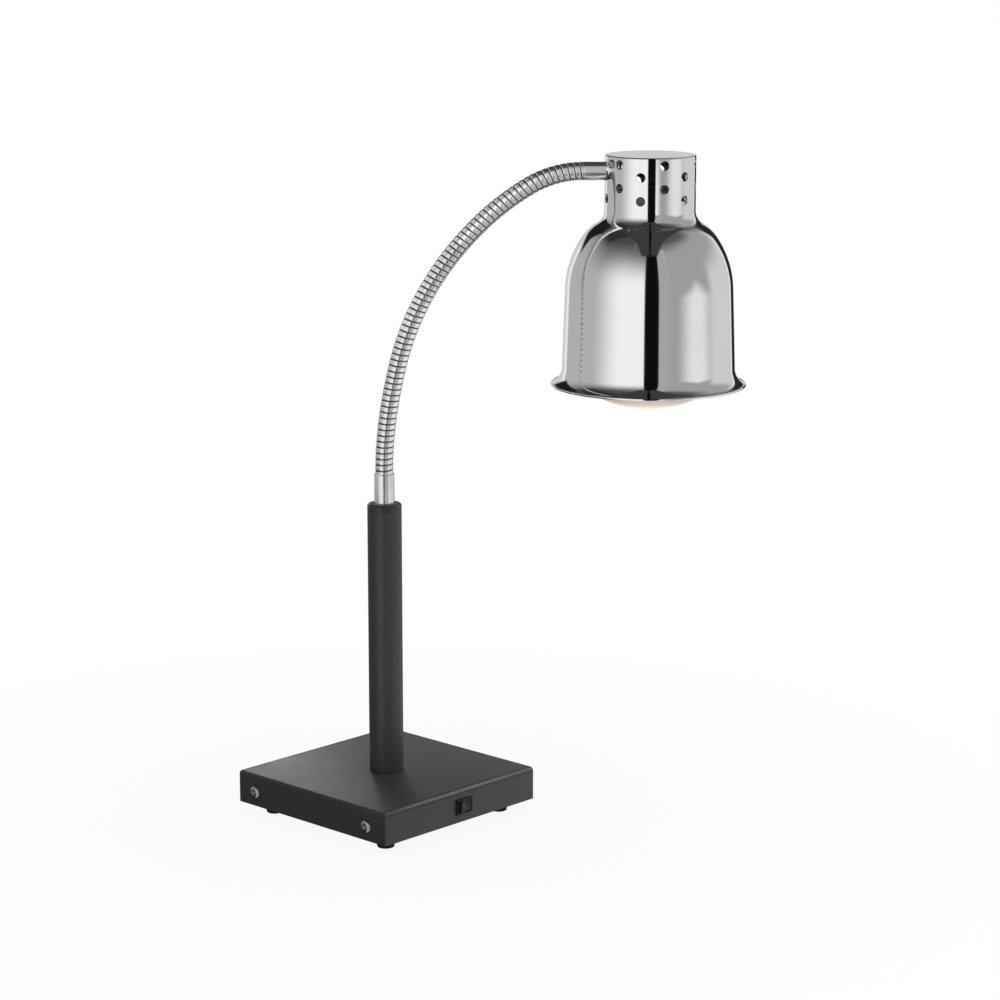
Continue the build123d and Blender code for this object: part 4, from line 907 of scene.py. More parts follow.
class HEATLAMP_OT_screws(bpy.types.Operator):
    """Makes the pan-head screws of the cover, the shade, the feet and the ballast"""
    bl_idname = "heat_lamp.screws"
    bl_label = "Screws"
    bl_options = {"REGISTER", "UNDO"}

    def execute(self, context):
        lamp = context.scene.heat_lamp
        shade, screws = lamp.shade, lamp.screws
        recess_up = (0, 0.42, 1)
        seats = [facing(cover_screw_seat(screws, side, end), (side, 0, 0), recess_up)
                 for side, end in CORNERS]
        self.place_screws("cover_screw", (*screws.cover, screws.cover_length), seats, "stand",
                          "chrome", "cover_screws", "screw_steel")
        level = SHADE_TOP - shade.vent_drop
        seats = []
        for angle in (-shade.screw_turn, shade.screw_turn):
            out = Matrix.Rotation(angle, 3, "Z") @ -ARM
            seat = Vector((HEAD_CENTRE.x, HEAD_CENTRE.y, level))
            seats.append(facing(seat + out * (shade.neck_radius + shade.seat_gap), out))
        self.place_screws("bracket_screw", (*screws.bracket, screws.bracket_length), seats,
                          "head", "chrome", "bracket_screws", "screw_steel")
        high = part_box("foot_screws")[1]
        spread = high.x - screws.foot[0]
        recess = lamp.base.foot_recess_depth
        seats = [facing(Vector((x * spread, y * spread, recess)), -UP, (0, 1, 0))
                 for x, y in CORNERS]
        self.place_screws("foot_screw", (*screws.foot, high.z - recess), seats, "stand",
                          "zinc_steel", "foot_screws")
        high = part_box("ballast_screws")[1]
        spread = high.x - screws.ballast[0]
        seats = [facing(Vector((x * spread, 0, COVER_LOW.z)), -UP, (0, 1, 0)) for x in (-1, 1)]
        self.place_screws("ballast_screw", (*screws.ballast, high.z - COVER_LOW.z), seats,
                          "stand", "zinc_steel", "ballast_screws")
        return {"FINISHED"}

    def place_screws(self, name, sizes, seats, body, slot, node, finish="zinc_steel"):
        """Makes one screw and puts a copy of it at each seat."""
        names = [f"{name}_{number + 1}" for number in range(len(seats))]
        for screw in copies(pan_screw(*sizes), names, seats):
            give(screw, body, slot, FINISHES[finish], node)


class HEATLAMP_OT_feet(bpy.types.Operator):
    """Moulds the four rubber feet"""
    bl_idname = "heat_lamp.feet"
    bl_label = "Feet"
    bl_options = {"REGISTER", "UNDO"}

    def execute(self, context):
        base = context.scene.heat_lamp.base
        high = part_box("rubber_feet")[1]
        bore, edge, height = base.foot_bore, base.foot_edge, COVER_LOW.z
        slope = atan(height / (base.foot_top - base.foot_tip))
        outline = Outline(bore, base.foot_recess_depth)
        outline.to(base.foot_recess, base.foot_recess_depth)
        outline.to(base.foot_recess, edge / 2).to(base.foot_recess + edge / 2, 0)
        outline.to(base.foot_tip - edge, 0).bend(edge, slope, radians(15))
        outline.to(base.foot_top, height - 2 * edge).to(base.foot_top, height)
        outline.to(bore, height).to(bore, base.foot_recess_depth)
        foot = turned("foot", outline.points, segments=72)
        spread = high.x - base.foot_top
        places = [Matrix.Translation((x * spread, y * spread, 0)) for x, y in CORNERS]
        names = [f"rubber_foot_{number}" for number in range(1, 5)]
        for piece in copies(foot, names, places):
            give(piece, "stand", "foot_rubber", FINISHES["foot_rubber"], "rubber_feet")
        return {"FINISHED"}


class HEATLAMP_OT_post(bpy.types.Operator):
    """Turns the post's tube and its cap"""
    bl_idname = "heat_lamp.post"
    bl_label = "Post"
    bl_options = {"REGISTER", "UNDO"}

    def execute(self, context):
        lamp = context.scene.heat_lamp
        base = lamp.base
        radius = base.post_radius
        inner = radius - base.post_wall
        chamfer = base.post_chamfer
        outline = Outline(inner, POST_LOW.z)
        outline.to(radius - chamfer, POST_LOW.z).to(radius, POST_LOW.z + chamfer)
        outline.to(radius, POST_HIGH.z - base.cap_groove)
        outline.to(radius - base.cap_groove, POST_HIGH.z)
        outline.to(inner, POST_HIGH.z).to(inner, POST_LOW.z)
        tube = turned("post_sleeve", outline.points, segments=128)
        give(tube, "stand", "dark_coat", FINISHES["dark_coat"], "post_tube")
        ferrule = lamp.neck.lower_radius + base.hole_gap
        bore = lamp.neck.thread_hole
        recess = CAP_HIGH.z - base.ferrule_recess
        plug = POST_HIGH.z - base.plug_depth
        plug_radius = inner - base.plug_gap
        outline = Outline(bore, plug).to(plug_radius, plug).to(plug_radius, POST_HIGH.z)
        outline.to(radius - base.cap_groove, POST_HIGH.z)
        outline.to(radius, POST_HIGH.z + base.cap_groove)
        outline.to(radius, CAP_HIGH.z - base.cap_edge)
        outline.heading = pi / 2
        outline.bend(base.cap_edge, pi / 2, radians(6))
        outline.to(ferrule, CAP_HIGH.z).to(ferrule, recess).to(bore, recess).to(bore, plug)
        cap = turned("post_cap_plug", outline.points, segments=128)
        give(cap, "stand", "dark_coat", FINISHES["dark_coat"], "post_cap")
        return {"FINISHED"}


def ferrule_outline(neck, radius, length, thread):
    """Sleeve with rounded ends on a hollow thread, from its seat up."""
    edge = neck.ferrule_chamfer
    socket = neck.crest_radius - neck.socket_inset
    floor = length - neck.socket_depth
    bore = neck.thread_bore
    outline = Outline(bore, -thread).to(neck.thread_radius, -thread).to(neck.thread_radius, 0)
    outline.to(radius, 0).to(radius, length - edge)
    outline.heading = pi / 2
    outline.bend(edge, pi / 2, radians(18))
    outline.to(socket, length).to(socket, floor).to(bore, floor)
    return outline.to(bore, -thread).points


class HEATLAMP_OT_ferrules(bpy.types.Operator):
    """Turns the two ferrules and saddles the upper one to the shade's neck"""
    bl_idname = "heat_lamp.ferrules"
    bl_label = "Ferrules"
    bl_options = {"REGISTER", "UNDO"}

    def execute(self, context):
        lamp = context.scene.heat_lamp
        neck = lamp.neck
        finish = FINISHES["neck_steel"]
        seat = CAP_HIGH.z - lamp.base.ferrule_recess
        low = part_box("lower_ferrule")[0]
        lower = turned("lower_ferrule_sleeve",
                       ferrule_outline(neck, neck.lower_radius, NECK_FOOT.z - seat,
                                       seat - low.z), 128)
        place(lower, Matrix.Translation((0, 0, seat)))
        give(lower, "stand", "neck_steel", finish, "lower_ferrule")
        radius = lamp.shade.neck_radius + lamp.shade.seat_gap
        overlap = neck.upper_radius / 2
        upper = turned("upper_ferrule_sleeve",
                       ferrule_outline(neck, neck.upper_radius,
                                       neck.upper_length + overlap,
                                       neck.upper_thread - overlap), 128)
        axis = Vector((HEAD_CENTRE.x, HEAD_CENTRE.y, FERRULE_HEIGHT))
        place(upper, facing(axis - ARM * (radius - overlap), -ARM))
        saddle_height, thread_reach, thread_inset = 0.05, 0.04, 0.01
        saddle = rod(radius, saddle_height, Matrix.Translation(axis), 256)
        cut(saddle, rod(neck.thread_radius, thread_reach,
                        facing(axis - ARM * (radius - thread_inset), -ARM), 64))
        cut(upper, saddle)
        smooth(upper)
        give(upper, "head", "neck_steel", finish, "upper_ferrule")
        return {"FINISHED"}


# One turn of the wound strip: share of the pitch, and depth as a share of the groove's
WINDING_SHAPE = ((0, 1), (0.06, 0.9), (0.10, 0.3), (0.14, 0.06), (0.24, 0.005), (0.5, 0),
                 (0.76, 0.005), (0.86, 0.06), (0.90, 0.3), (0.94, 0.9), (1, 1))


def neck_points(neck):
    """Joints between the neck's arcs: place, tangent, and the arc's handle after each."""
    reach, height, heading = 0.0, 0.0, 0.0
    rows = []
    for bend in neck.section_bends:
        angle = radians(bend)
        radius = neck.section_length / angle
        handle = 4 / 3 * tan(angle / 4) * radius
        rows.append((reach, height, heading, handle))
        reach += radius * (cos(heading) - cos(heading + angle))
        height += radius * (sin(heading + angle) - sin(heading))
        heading += angle
    rows.append((reach, height, heading, rows[-1][3]))
    return rows


def neck_place(neck, distance):
    """Point on the neck's centre line at a distance from its foot."""
    rows = neck_points(neck)
    index = min(int(distance / neck.section_length), len(neck.section_bends) - 1)
    reach, height, heading, _ = rows[index]
    angle = radians(neck.section_bends[index])
    radius = neck.section_length / angle
    turned_by = (distance - index * neck.section_length) / radius
    reach += radius * (cos(heading) - cos(heading + turned_by))
    height += radius * (sin(heading + turned_by) - sin(heading))
    return NECK_FOOT + ARM * reach + UP * height


class HEATLAMP_OT_neck(bpy.types.Operator):
    """Winds the flexible neck, one piece over each joint and one at each end"""
    bl_idname = "heat_lamp.neck"
    bl_label = "Flexible neck"
    bl_options = {"REGISTER", "UNDO"}

    def execute(self, context):
        neck = context.scene.heat_lamp.neck
        joints = len(neck.section_bends) - 1
        self.turns = 2 * neck.end_turns + joints * neck.joint_turns
        self.length = len(neck.section_bends) * neck.section_length
        self.pitch = self.length / self.turns
        line = self.centre_line(neck)
        foot = self.winding("neck_winding_foot", neck, -1, neck.end_turns, line)
        give(foot, "stand", "neck_steel", FINISHES["neck_winding"], "neck_section_1")
        for joint in range(joints):
            first = neck.end_turns + joint * neck.joint_turns
            piece = self.winding(f"neck_winding_{joint + 1}", neck, first,
                                 first + neck.joint_turns, line)
            give(piece, None, "neck_steel", FINISHES["neck_winding"],
                 f"neck_section_{joint + 1}", f"neck_section_{joint + 2}")
            pivot = (joint + 1) * neck.section_length
            neck_place(neck, pivot - neck.bend_reach)
            neck_place(neck, pivot + neck.bend_reach)
            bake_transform(piece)
        tip = self.winding("neck_winding_tip", neck, self.turns - neck.end_turns,
                           self.turns + 1, line)
        give(tip, "head", "neck_steel", FINISHES["neck_winding"],
             f"neck_section_{joints + 1}")
        bpy.data.objects.remove(line)
        return {"FINISHED"}

    def centre_line(self, neck):
        """Curve along the neck's arcs."""
        start_clean()
        bpy.ops.curve.primitive_bezier_curve_add(location=(0, 0, 0))
        line = bpy.context.object
        line.data.resolution_u = 48
        line.data.twist_mode = "MINIMUM"
        rows = neck_points(neck)
        spline = line.data.splines[0]
        spline.bezier_points.add(len(rows) - len(spline.bezier_points))
        before = rows[0][3]
        for point, (reach, height, heading, handle) in zip(spline.bezier_points, rows):
            tangent = ARM * sin(heading) + UP * cos(heading)
            point.handle_left_type = point.handle_right_type = "FREE"
            point.co = NECK_FOOT + ARM * reach + UP * height
            point.handle_left = point.co - tangent * before
            point.handle_right = point.co + tangent * handle
            before = handle
        return line

    def winding(self, name, neck, first, last, line):
        """Some turns of the wound strip, bent along the neck's centre line."""
        crest = neck.crest_radius
        points = [Vector((crest - neck.groove_depth * depth, 0, share * self.pitch))
                  for share, depth in WINDING_SHAPE]
        piece = drawn(name, points)
        bpy.ops.object.mode_set(mode="OBJECT")
        finish_with(piece, "SCREW", axis="Z", angle=2 * pi, screw_offset=self.pitch,
                    iterations=last - first, steps=48, render_steps=48,
                    use_merge_vertices=True, merge_threshold=1e-6)
        place(piece, Matrix.Translation((0, 0, (first - 0.5) * self.pitch)))
        edit(piece)
        for height, above in ((0, True), (self.length, False)):
            bpy.ops.mesh.select_all(action="SELECT")
            bpy.ops.mesh.bisect(plane_co=(0, 0, height), plane_no=UP, clear_inner=above,
                                clear_outer=not above)
        close_edit()
        self.turn_outwards(piece)
        self.mark_seams(piece, neck)
        finish_with(piece, "SOLIDIFY", thickness=neck.wall, offset=-1)
        finish_with(piece, "CURVE", object=line, deform_axis="POS_Z")
        smooth(piece, 50)
        return piece

    def mark_seams(self, piece, neck):
        """Stores how deep each vertex lies between two turns, for the finish, which paints the grooves dark:
        partly the seams' own colour, partly painted shade.
        """
        seam = piece.data.attributes.new("seam", "FLOAT", "POINT")
        for vertex in piece.data.vertices:
            depth = neck.crest_radius - hypot(vertex.co.x, vertex.co.y)
            seam.data[vertex.index].value = min(1.0, max(0.0, depth / neck.groove_depth))

    def turn_outwards(self, piece):
        """Flips the open winding's faces if they point at its axis."""
        face = piece.data.polygons[0]
        if face.normal.dot(Vector((face.center.x, face.center.y, 0))) < 0:
            edit(piece)
            bpy.ops.mesh.select_all(action="SELECT")
            bpy.ops.mesh.flip_normals()
            bpy.ops.object.mode_set(mode="OBJECT")


def shade_outline(shade, inset):
    """The shade's half section from its top centre to the rim, inset from the outer face."""
    outline = Outline(0, SHADE_TOP - inset)
    outline.run(shade.neck_radius - shade.top_edge)
    outline.bend(shade.top_edge - inset, -pi / 2, radians(10))
    outline.run(shade.neck_height - shade.top_edge)
    outline.bend(shade.throat_radius + inset, shade.throat_turn, radians(2.5))
    outline.bend(shade.shoulder_radius - inset, -shade.shoulder_turn, radians(1.5))
    outline.bend(shade.side_radius - inset, -shade.side_turn, radians(1.5))
    outline.run(shade.side_length)
    outline.bend(shade.flare_radius + inset, shade.flare_turn, radians(3))
    return outline


class HEATLAMP_OT_shade(bpy.types.Operator):
    """Spins the shade, rolls its rim and pierces its vents"""
    bl_idname = "heat_lamp.shade"
    bl_label = "Shade"
    bl_options = {"REGISTER", "UNDO"}

    def execute(self, context):
        lamp = context.scene.heat_lamp
        shade = lamp.shade
        outer = shade_outline(shade, 0)
        inner = shade_outline(shade, shade.sheet)
        bead = self.bead(shade, outer, inner)
        points = outer.points + bead + inner.points[::-1]
        centre = (HEAD_CENTRE.x, HEAD_CENTRE.y, 0)
        bell = turned("shade_bell", points, shade.segments, centre)
        cut(bell, self.cutters(shade, lamp.neck.thread_hole))
        smooth(bell, 35)
        self.true_neck_normals(bell, shade)
        give(bell, "head", "chrome", FINISHES["chrome"], "shade")
        return {"FINISHED"}

    def bead(self, shade, outer, inner):
        """Points round the rolled rim, from the outer face to the inner one."""
        end, back = outer.points[-1], inner.points[-1]
        middle_point = (end + back) / 2
        heading = outer.heading
        half = (end - back).length / 2
        opening = atan(half / shade.bead_radius)
        points = []
        steps = 20
        for step in range(steps + 1):
            angle = heading + pi - opening - (2 * pi - 2 * opening) * step / steps
            points.append(middle_point + Vector((cos(angle), 0, sin(angle))) * shade.bead_radius)
        return points

    def cutters(self, shade, thread_hole):
        """Pegs for the vents, the ferrule's thread and the two screws, as one tool."""
        axis = Vector((HEAD_CENTRE.x, HEAD_CENTRE.y, 0))
        level = SHADE_TOP - shade.vent_drop
        places = [(0, FERRULE_HEIGHT, thread_hole),
                  (-shade.screw_turn, level, shade.screw_hole),
                  (shade.screw_turn, level, shade.screw_hole)]
        for column in range(shade.vent_columns):
            angle = shade.vent_start + column * 2 * pi / shade.vent_columns
            for row in (1, 3) if column % 2 == 0 else (0, 2):
                places.append((angle, level - row * shade.vent_pitch, shade.vent_radius))
        pegs = []
        for angle, height, radius in places:
            out = Matrix.Rotation(angle, 3, "Z") @ -ARM
            seat = axis + UP * height + out * (shade.neck_radius - shade.sheet / 2)
            pegs.append(rod(radius, 6 * shade.sheet, facing(seat, out), 64))
        return join("vent_pegs", pegs)

    def true_neck_normals(self, bell, shade):
        """Gives the pierced neck the normals of a true cylinder, so that it mirrors evenly."""
        mesh = bell.data
        normals = [loop.vector.copy() for loop in mesh.corner_normals]
        top = SHADE_TOP - shade.top_edge - MM
        bottom = SHADE_TOP - shade.neck_height + MM
        axis = Vector((HEAD_CENTRE.x, HEAD_CENTRE.y, 0))
        squarely = 0.98
        for face in mesh.polygons:
            if not bottom < face.center.z < top:
                continue
            out = (face.center - axis) * Vector((1, 1, 0))
            out.normalize()
            facing_out = face.normal.dot(out)
            if abs(facing_out) < squarely:
                continue
            for index in face.loop_indices:
                corner = mesh.vertices[mesh.loops[index].vertex_index].co - axis
                radial = Vector((corner.x, corner.y, 0)).normalized()
                normals[index] = radial if facing_out > 0 else -radial
        mesh.normals_split_custom_set(normals)


class HEATLAMP_OT_bulb(bpy.types.Operator):
    """Blows the reflector bulb's glass"""
    bl_idname = "heat_lamp.bulb"
    bl_label = "Bulb"
    bl_options = {"REGISTER", "UNDO"}

    def execute(self, context):
        bulb = context.scene.heat_lamp.bulb
        outer = self.outline(bulb, 0)
        inner = self.outline(bulb, bulb.wall)
        points = outer + inner[::-1]
        glass = turned("bulb_envelope", points, 160,
                       (HEAD_CENTRE.x, HEAD_CENTRE.y, BULB_APEX))
        give(glass, "head", "lamp_glass", FINISHES["lamp_glass"], "bulb_glass")
        return {"FINISHED"}

    def outline(self, bulb, inset):
        """Half section of the glass, from the front's middle to the stem's end."""
        edge_reach = bulb.radius - bulb.edge_radius
        span = bulb.dome_radius - bulb.edge_radius
        dome_turn = atan(edge_reach / (span ** 2 - edge_reach ** 2) ** 0.5)
        outline = Outline(0, inset)
        outline.bend(bulb.dome_radius - inset, dome_turn, radians(2))
        outline.bend(bulb.edge_radius - inset, pi / 2 - dome_turn, radians(6))
        outline.bend(bulb.body_radius - inset, bulb.body_turn, radians(3))
        heading = outline.heading
        start = outline.points[-1]
        back_turn = heading - pi / 2
        reach = start.x - (bulb.neck_radius - inset)
        waist = reach / (1 - cos(back_turn))
        outline.bend(waist, -back_turn, radians(3))
        throat = (bulb.neck_radius - bulb.stem_radius) / 2
        outline.to(bulb.neck_radius - inset, bulb.neck_top)
        outline.heading = pi / 2
        outline.bend(throat - inset, pi / 2, radians(15))
        outline.bend(throat + inset, -pi / 2, radians(15))
        outline.run(bulb.stem_length)
        return outline.points


class HEATLAMP_OT_switch(bpy.types.Operator):
    """Moulds the switch's bezel and its rocker"""
    bl_idname = "heat_lamp.switch"
    bl_label = "Switch"
    bl_options = {"REGISTER", "UNDO"}

    def execute(self, context):
        switch = context.scene.heat_lamp.switch
        low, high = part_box("switch_housing")
        face, wall = low.y, COVER_LOW.y
        seat = Vector((SWITCH_CENTRE.x, (face + wall) / 2, SWITCH_CENTRE.z))
        bezel = block((high.x - low.x, wall - face, high.z - low.z), Matrix.Translation(seat))
        bezel.name = "switch_bezel"
        edit(bezel)
        pick(bezel, "EDGE", lambda centre, corners: abs(corners[0].y - corners[1].y) > MM)
        bpy.ops.mesh.bevel(offset=switch.bezel_corner, segments=6, affect="EDGES")
        pick(bezel, "EDGE", lambda centre, corners: centre.y < face + 1e-5)
        bpy.ops.mesh.bevel(offset=switch.bezel_edge, segments=5, affect="EDGES")
        close_edit()
        weld(bezel, block(switch.body, Matrix.Translation(
            (seat.x, wall + switch.body[1] / 2, seat.z))))
        width, depth, height = switch.pocket
        pocket = block((width, 2 * depth, height), Matrix.Translation((seat.x, face, seat.z)))
        edit(pocket)
        pick(pocket, "EDGE", lambda centre, corners: abs(corners[0].y - corners[1].y) > MM)
        bpy.ops.mesh.bevel(offset=switch.pocket_corner, segments=3, affect="EDGES")
        close_edit()
        cut(bezel, pocket)
        soften(bezel, width=0.00012, segments=2, angle=50)
        smooth(bezel)
        give(bezel, "stand", "switch_plastic", FINISHES["switch_plastic"], "switch_housing")
        self.rocker(switch)
        return {"FINISHED"}

    def rocker(self, switch):
        """Rocker with a hollow in each half, resting with its +X end pressed in."""
        pivot = Vector(JOINTS["rocker_press"]["pos_m"])
        half, valley, height = switch.rocker_half, switch.rocker_drop, switch.rocker_height
        rise = half * tan(switch.tilt)
        steps = 8
        outline = [(-half, -valley - rise)]
        for side in (-1, 1):
            for step in range(1, steps + 1):
                share = step / steps
                along = -half + half * share if side < 0 else half * share
                level = -valley - rise * (1 - share) if side < 0 else -valley - rise * share
                outline.append((along, level + switch.rocker_dish * sin(pi * share)))
        end, back, back_half = switch.rocker_end, switch.rocker_back, switch.rocker_back_half
        outline += [(half, end), (back_half, back), (-back_half, back), (-half, end)]
        points = [Vector((x, y, -height / 2)) for x, y in outline]
        piece = drawn("switch_rocker_cap", points + points[:1])
        bpy.ops.mesh.remove_doubles(threshold=1e-6)
        bpy.ops.mesh.select_all(action="SELECT")
        bpy.ops.mesh.edge_face_add()
        bpy.ops.mesh.extrude_region_move(TRANSFORM_OT_translate={"value": (0, 0, height)})
        close_edit()
        soften(piece, width=0.00035, segments=3, angle=35)
        place(piece, Matrix.Translation(pivot) @ Matrix.Rotation(switch.tilt, 4, "Z"))
        smooth(piece, 40)
        give(piece, "rocker", "switch_plastic", FINISHES["switch_plastic"], "switch_rocker")


class HEATLAMP_OT_gland(bpy.types.Operator):
    """Moulds the cord gland's body and its fluted cap"""
    bl_idname = "heat_lamp.gland"
    bl_label = "Cord gland"
    bl_options = {"REGISTER", "UNDO"}

    def execute(self, context):
        gland = context.scene.heat_lamp.gland
        low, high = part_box("gland_cap")
        radius, length, edge = gland.cap_radius, high.y - low.y, gland.cap_edge
        bore, lip = gland.bore, gland.lip
        outline = Outline(bore, 0).to(radius, 0).to(radius, length - edge)
        outline.heading = pi / 2
        outline.bend(edge, pi / 2, radians(9))
        outline.to(bore + lip, length).to(bore, length - lip).to(bore, 0)
        cap = turned("gland_cap_nut", outline.points, segments=96)
        flutes = []
        for number in range(gland.flutes):
            angle = 2 * pi * number / gland.flutes
            seat = Vector((cos(angle), sin(angle), 0)) * (radius + gland.flute_offset)
            flutes.append(rod(gland.flute_radius, 2 * (length - edge - MM),
                              Matrix.Translation(seat), 24))
        cut(cap, join("flutes", flutes))
        seat = Vector((GLAND_CENTRE.x, low.y, GLAND_CENTRE.z))
        place(cap, facing(seat, (0, 1, 0)))
        smooth(cap)
        give(cap, "stand", "gland_plastic", FINISHES["gland_plastic"], "gland_cap")
        thickness = low.y - COVER_HIGH.y
        start_clean()
        bpy.ops.mesh.primitive_cylinder_add(vertices=6, radius=gland.body_half / cos(pi / 6),
                                            depth=thickness)
        body = place(bpy.context.object, Matrix.Translation((0, 0, thickness / 2)))
        body.name = "gland_body"
        soften(body, width=0.0005, segments=3, angle=40)
        overlap = 2 * MM
        weld(body, rod(gland.thread_radius, gland.thread_length + overlap,
                       Matrix.Translation((0, 0, (overlap - gland.thread_length) / 2)), 96))
        through = 60 * MM
        cut(body, rod(bore, through, Matrix.Identity(4), 64))
        place(body, facing(Vector((GLAND_CENTRE.x, COVER_HIGH.y, GLAND_CENTRE.z)), (0, 1, 0)))
        smooth(body)
        give(body, "stand", "gland_plastic", FINISHES["gland_plastic"], "cable_gland")
        return {"FINISHED"}


# Stage: floor, light and camera

CAMERA_PLACE = Vector((-1.8904, -1.9365, 0.8740))
CAMERA_TURN = (radians(78.131), 0.0, radians(-46.617))
CAMERA_LENS = 105.57
TOWARDS_CAMERA = radians(220.5)
FLOOR_RADIUS = 1.2
EVEN_LIGHT = 0.62

WINDINGS = ("neck_winding_foot", "neck_winding_1", "neck_winding_2", "neck_winding_3",
            "neck_winding_4", "neck_winding_5", "neck_winding_6", "neck_winding_tip")
LIT_PIECES = {
    "coated_pieces": ("base_cover_sheet", "post_sleeve", "post_cap_plug"),
    "plated_pieces": (*WINDINGS, "lower_ferrule_sleeve", "upper_ferrule_sleeve"),
    "head_pieces": ("upper_ferrule_sleeve", *WINDINGS[-3:], "post_sleeve"),
}
# Soft lights: name, place, side, power in watts, where it looks, and the pieces it is kept to
LIGHTS = (
    ("key_light", (-0.9, -1.9, 2.3), 1.6, 14.0, (0.08, -0.08, 0.3), None),
    ("left_card", (0.62, 1.16, 0.50), 0.55, 2.2, (-0.1, 0.1, 0.04), "coated_pieces"),
    ("edge_card", (1.46, -0.67, 1.5), 0.5, 19.0, (0.0, -0.1, 0.04), "coated_pieces"),
    ("neck_card", (-0.78, 1.36, 1.65), 2.0, 6.0, (0.1, -0.1, 0.5), "plated_pieces"),
    ("front_card", (-1.0, -1.3, 1.34), 3.0, 12.5, (0.15, -0.15, 0.58), "head_pieces"),
)


class HEATLAMP_OT_stage(bpy.types.Operator):
    """Sets the floor, the studio light and the camera"""
    bl_idname = "heat_lamp.stage"
    bl_label = "Stage"
    bl_options = {"REGISTER", "UNDO"}

    def execute(self, context):
        scene = context.scene
        scene.view_settings.view_transform = "Standard"
        self.floor()
        self.world(scene)
        groups = {name: self.group(name, pieces) for name, pieces in LIT_PIECES.items()}
        for name, location, spread, power, target, group in LIGHTS:
            self.light(name, location, spread, power, target, groups.get(group))
        start_clean()
        bpy.ops.object.camera_add(location=CAMERA_PLACE, rotation=CAMERA_TURN)
        camera = bpy.context.object
        camera.name = "photo_camera"
        camera.data.lens = CAMERA_LENS
        camera.data.sensor_width = 36.0
        camera.data.clip_start = 0.05
        scene.camera = camera
        start_clean()
        return {"FINISHED"}

    def group(self, name, pieces):
        """Collection of the pieces that a light is kept to."""
        lit = bpy.data.collections.new(name)
        for piece in pieces:
            lit.objects.link(bpy.data.objects[piece])
        return lit

    def light(self, name, location, spread, power, target, lit):
        """Soft square light that no camera sees. Metal mirrors only those kept to pieces."""
        start_clean()
        bpy.ops.object.light_add(type="AREA", location=location)
        light = bpy.context.object
        light.name = name
        light.data.size = spread
        light.data.energy = power
        aim = Vector(location) - Vector(target)
        light.rotation_euler = aim.to_track_quat("Z", "Y").to_euler()
        light.visible_camera = False
        light.visible_glossy = lit is not None
        if lit:
            light.light_linking.receiver_collection = lit

    def floor(self):
        """Pale disc under the object that keeps a faint shadow."""
        start_clean()
        bpy.ops.mesh.primitive_circle_add(vertices=96, radius=FLOOR_RADIUS, fill_type="NGON")
        floor = bpy.context.object
        floor.name = "studio_floor"
        made = bpy.data.materials.new("studio_floor")
        finish = Finish(made)
        x, y, _ = finish.axes(finish.place())
        seen, through = finish.rays("Is Camera Ray", "Is Transmission Ray")
        near, far, near_share = 0.15, 0.75, 0.92
        share = seen * finish.ramp(finish.length(x, y), near, far, near_share, 1.0) + through
        white = finish.node("ShaderNodeEmission", {}, {"Color": (1, 1, 1, 1), "Strength": 1.0})
        matt = finish.node("ShaderNodeBsdfDiffuse", {}, {"Color": (0.8, 0.8, 0.8, 1)})
        mixed = finish.node("ShaderNodeMixShader", {}, {0: share, 1: matt, 2: white})
        finish.node("ShaderNodeOutputMaterial", {}, {"Surface": mixed})
        floor.data.materials.append(made)
        floor.visible_glossy = False

    def world(self, scene):
        """White background, even light, and a studio of panels and flags for the metal."""
        world = bpy.data.worlds.new("studio")
        scene.world = world
        finish = Finish(world)
        ray = finish.node("ShaderNodeTexCoord", output="Generated")
        east, north, up = finish.axes(ray)
        toward = east * cos(TOWARDS_CAMERA) + north * sin(TOWARDS_CAMERA)
        right = north * cos(TOWARDS_CAMERA) - east * sin(TOWARDS_CAMERA)
        turn_from = finish.node("ShaderNodeMath", {"operation": "ARCTAN2"}, {
            0: right, 1: toward}) * degrees(1)
        rise = finish.node("ShaderNodeMath", {"operation": "ARCSINE"}, {0: up}) * degrees(1)
        level = self.panels(finish, turn_from, rise, toward, right, up)
        mirrored, seen, through = finish.rays("Is Glossy Ray", "Is Camera Ray",
                                              "Is Transmission Ray")
        plain = EVEN_LIGHT + (1 - EVEN_LIGHT) * (seen + through)
        strength = mirrored * level + (1 - mirrored) * plain
        light = finish.node("ShaderNodeBackground", {}, {
            "Color": (1, 1, 1, 1), "Strength": strength})
        finish.node("ShaderNodeOutputWorld", {}, {"Surface": light})

    def panels(self, finish, turn_from, rise, toward, right, up):
        """Brightness that metal sees, by degrees right of the camera and over the horizon."""

        def panel(level, value, low, high, soft, bottom, top, edge):
            """Takes the level to a value inside a window, given in degrees across and up."""
            area = finish.window(turn_from, low, high, soft)
            area = area * finish.window(rise, bottom, top, edge)
            return level + (value - level) * area

        # White low down and dark above, all round
        level = finish.ramp(rise, 8, 55, 0.95, 0.10)
        # Bright panel on the left, darker away from the camera and upwards
        left = finish.ramp(turn_from, -84, -36, 0.47, 0.97)
        left = left * finish.ramp(rise, 10, 55, 1.0, 0.14)
        level = panel(level, left, -141, -10, 1.5, -90, 60, 6)
        # Grey panel on the right, with a firm strip at its near edge and a lighter far end
        level = panel(level, 0.37, 22, 140, 7, -90, 54, 10)
        level = panel(level, 0.40, 12, 30, 2, -5, 54, 0.6)
        level = panel(level, 0.66, 92, 140, 8, -90, 20, 10)
        # Soft bright patch in the grey panel, narrower upwards
        off = finish.node("ShaderNodeMath", {"operation": "ABSOLUTE"}, {0: turn_from - 68})
        above = finish.node("ShaderNodeMath", {"operation": "MAXIMUM"}, {0: rise + 5, 1: 0.0})
        glow = finish.ramp(off + above * 1.5, 34, 6)
        level = level + (0.82 - level) * glow
        # Behind the lamp, a pale band low down
        in_front = finish.window(turn_from, -150, 150, 10)
        low_back = finish.ramp(rise, 9, 24, 0.62, 0.09)
        level = level * in_front + (1 - in_front) * low_back
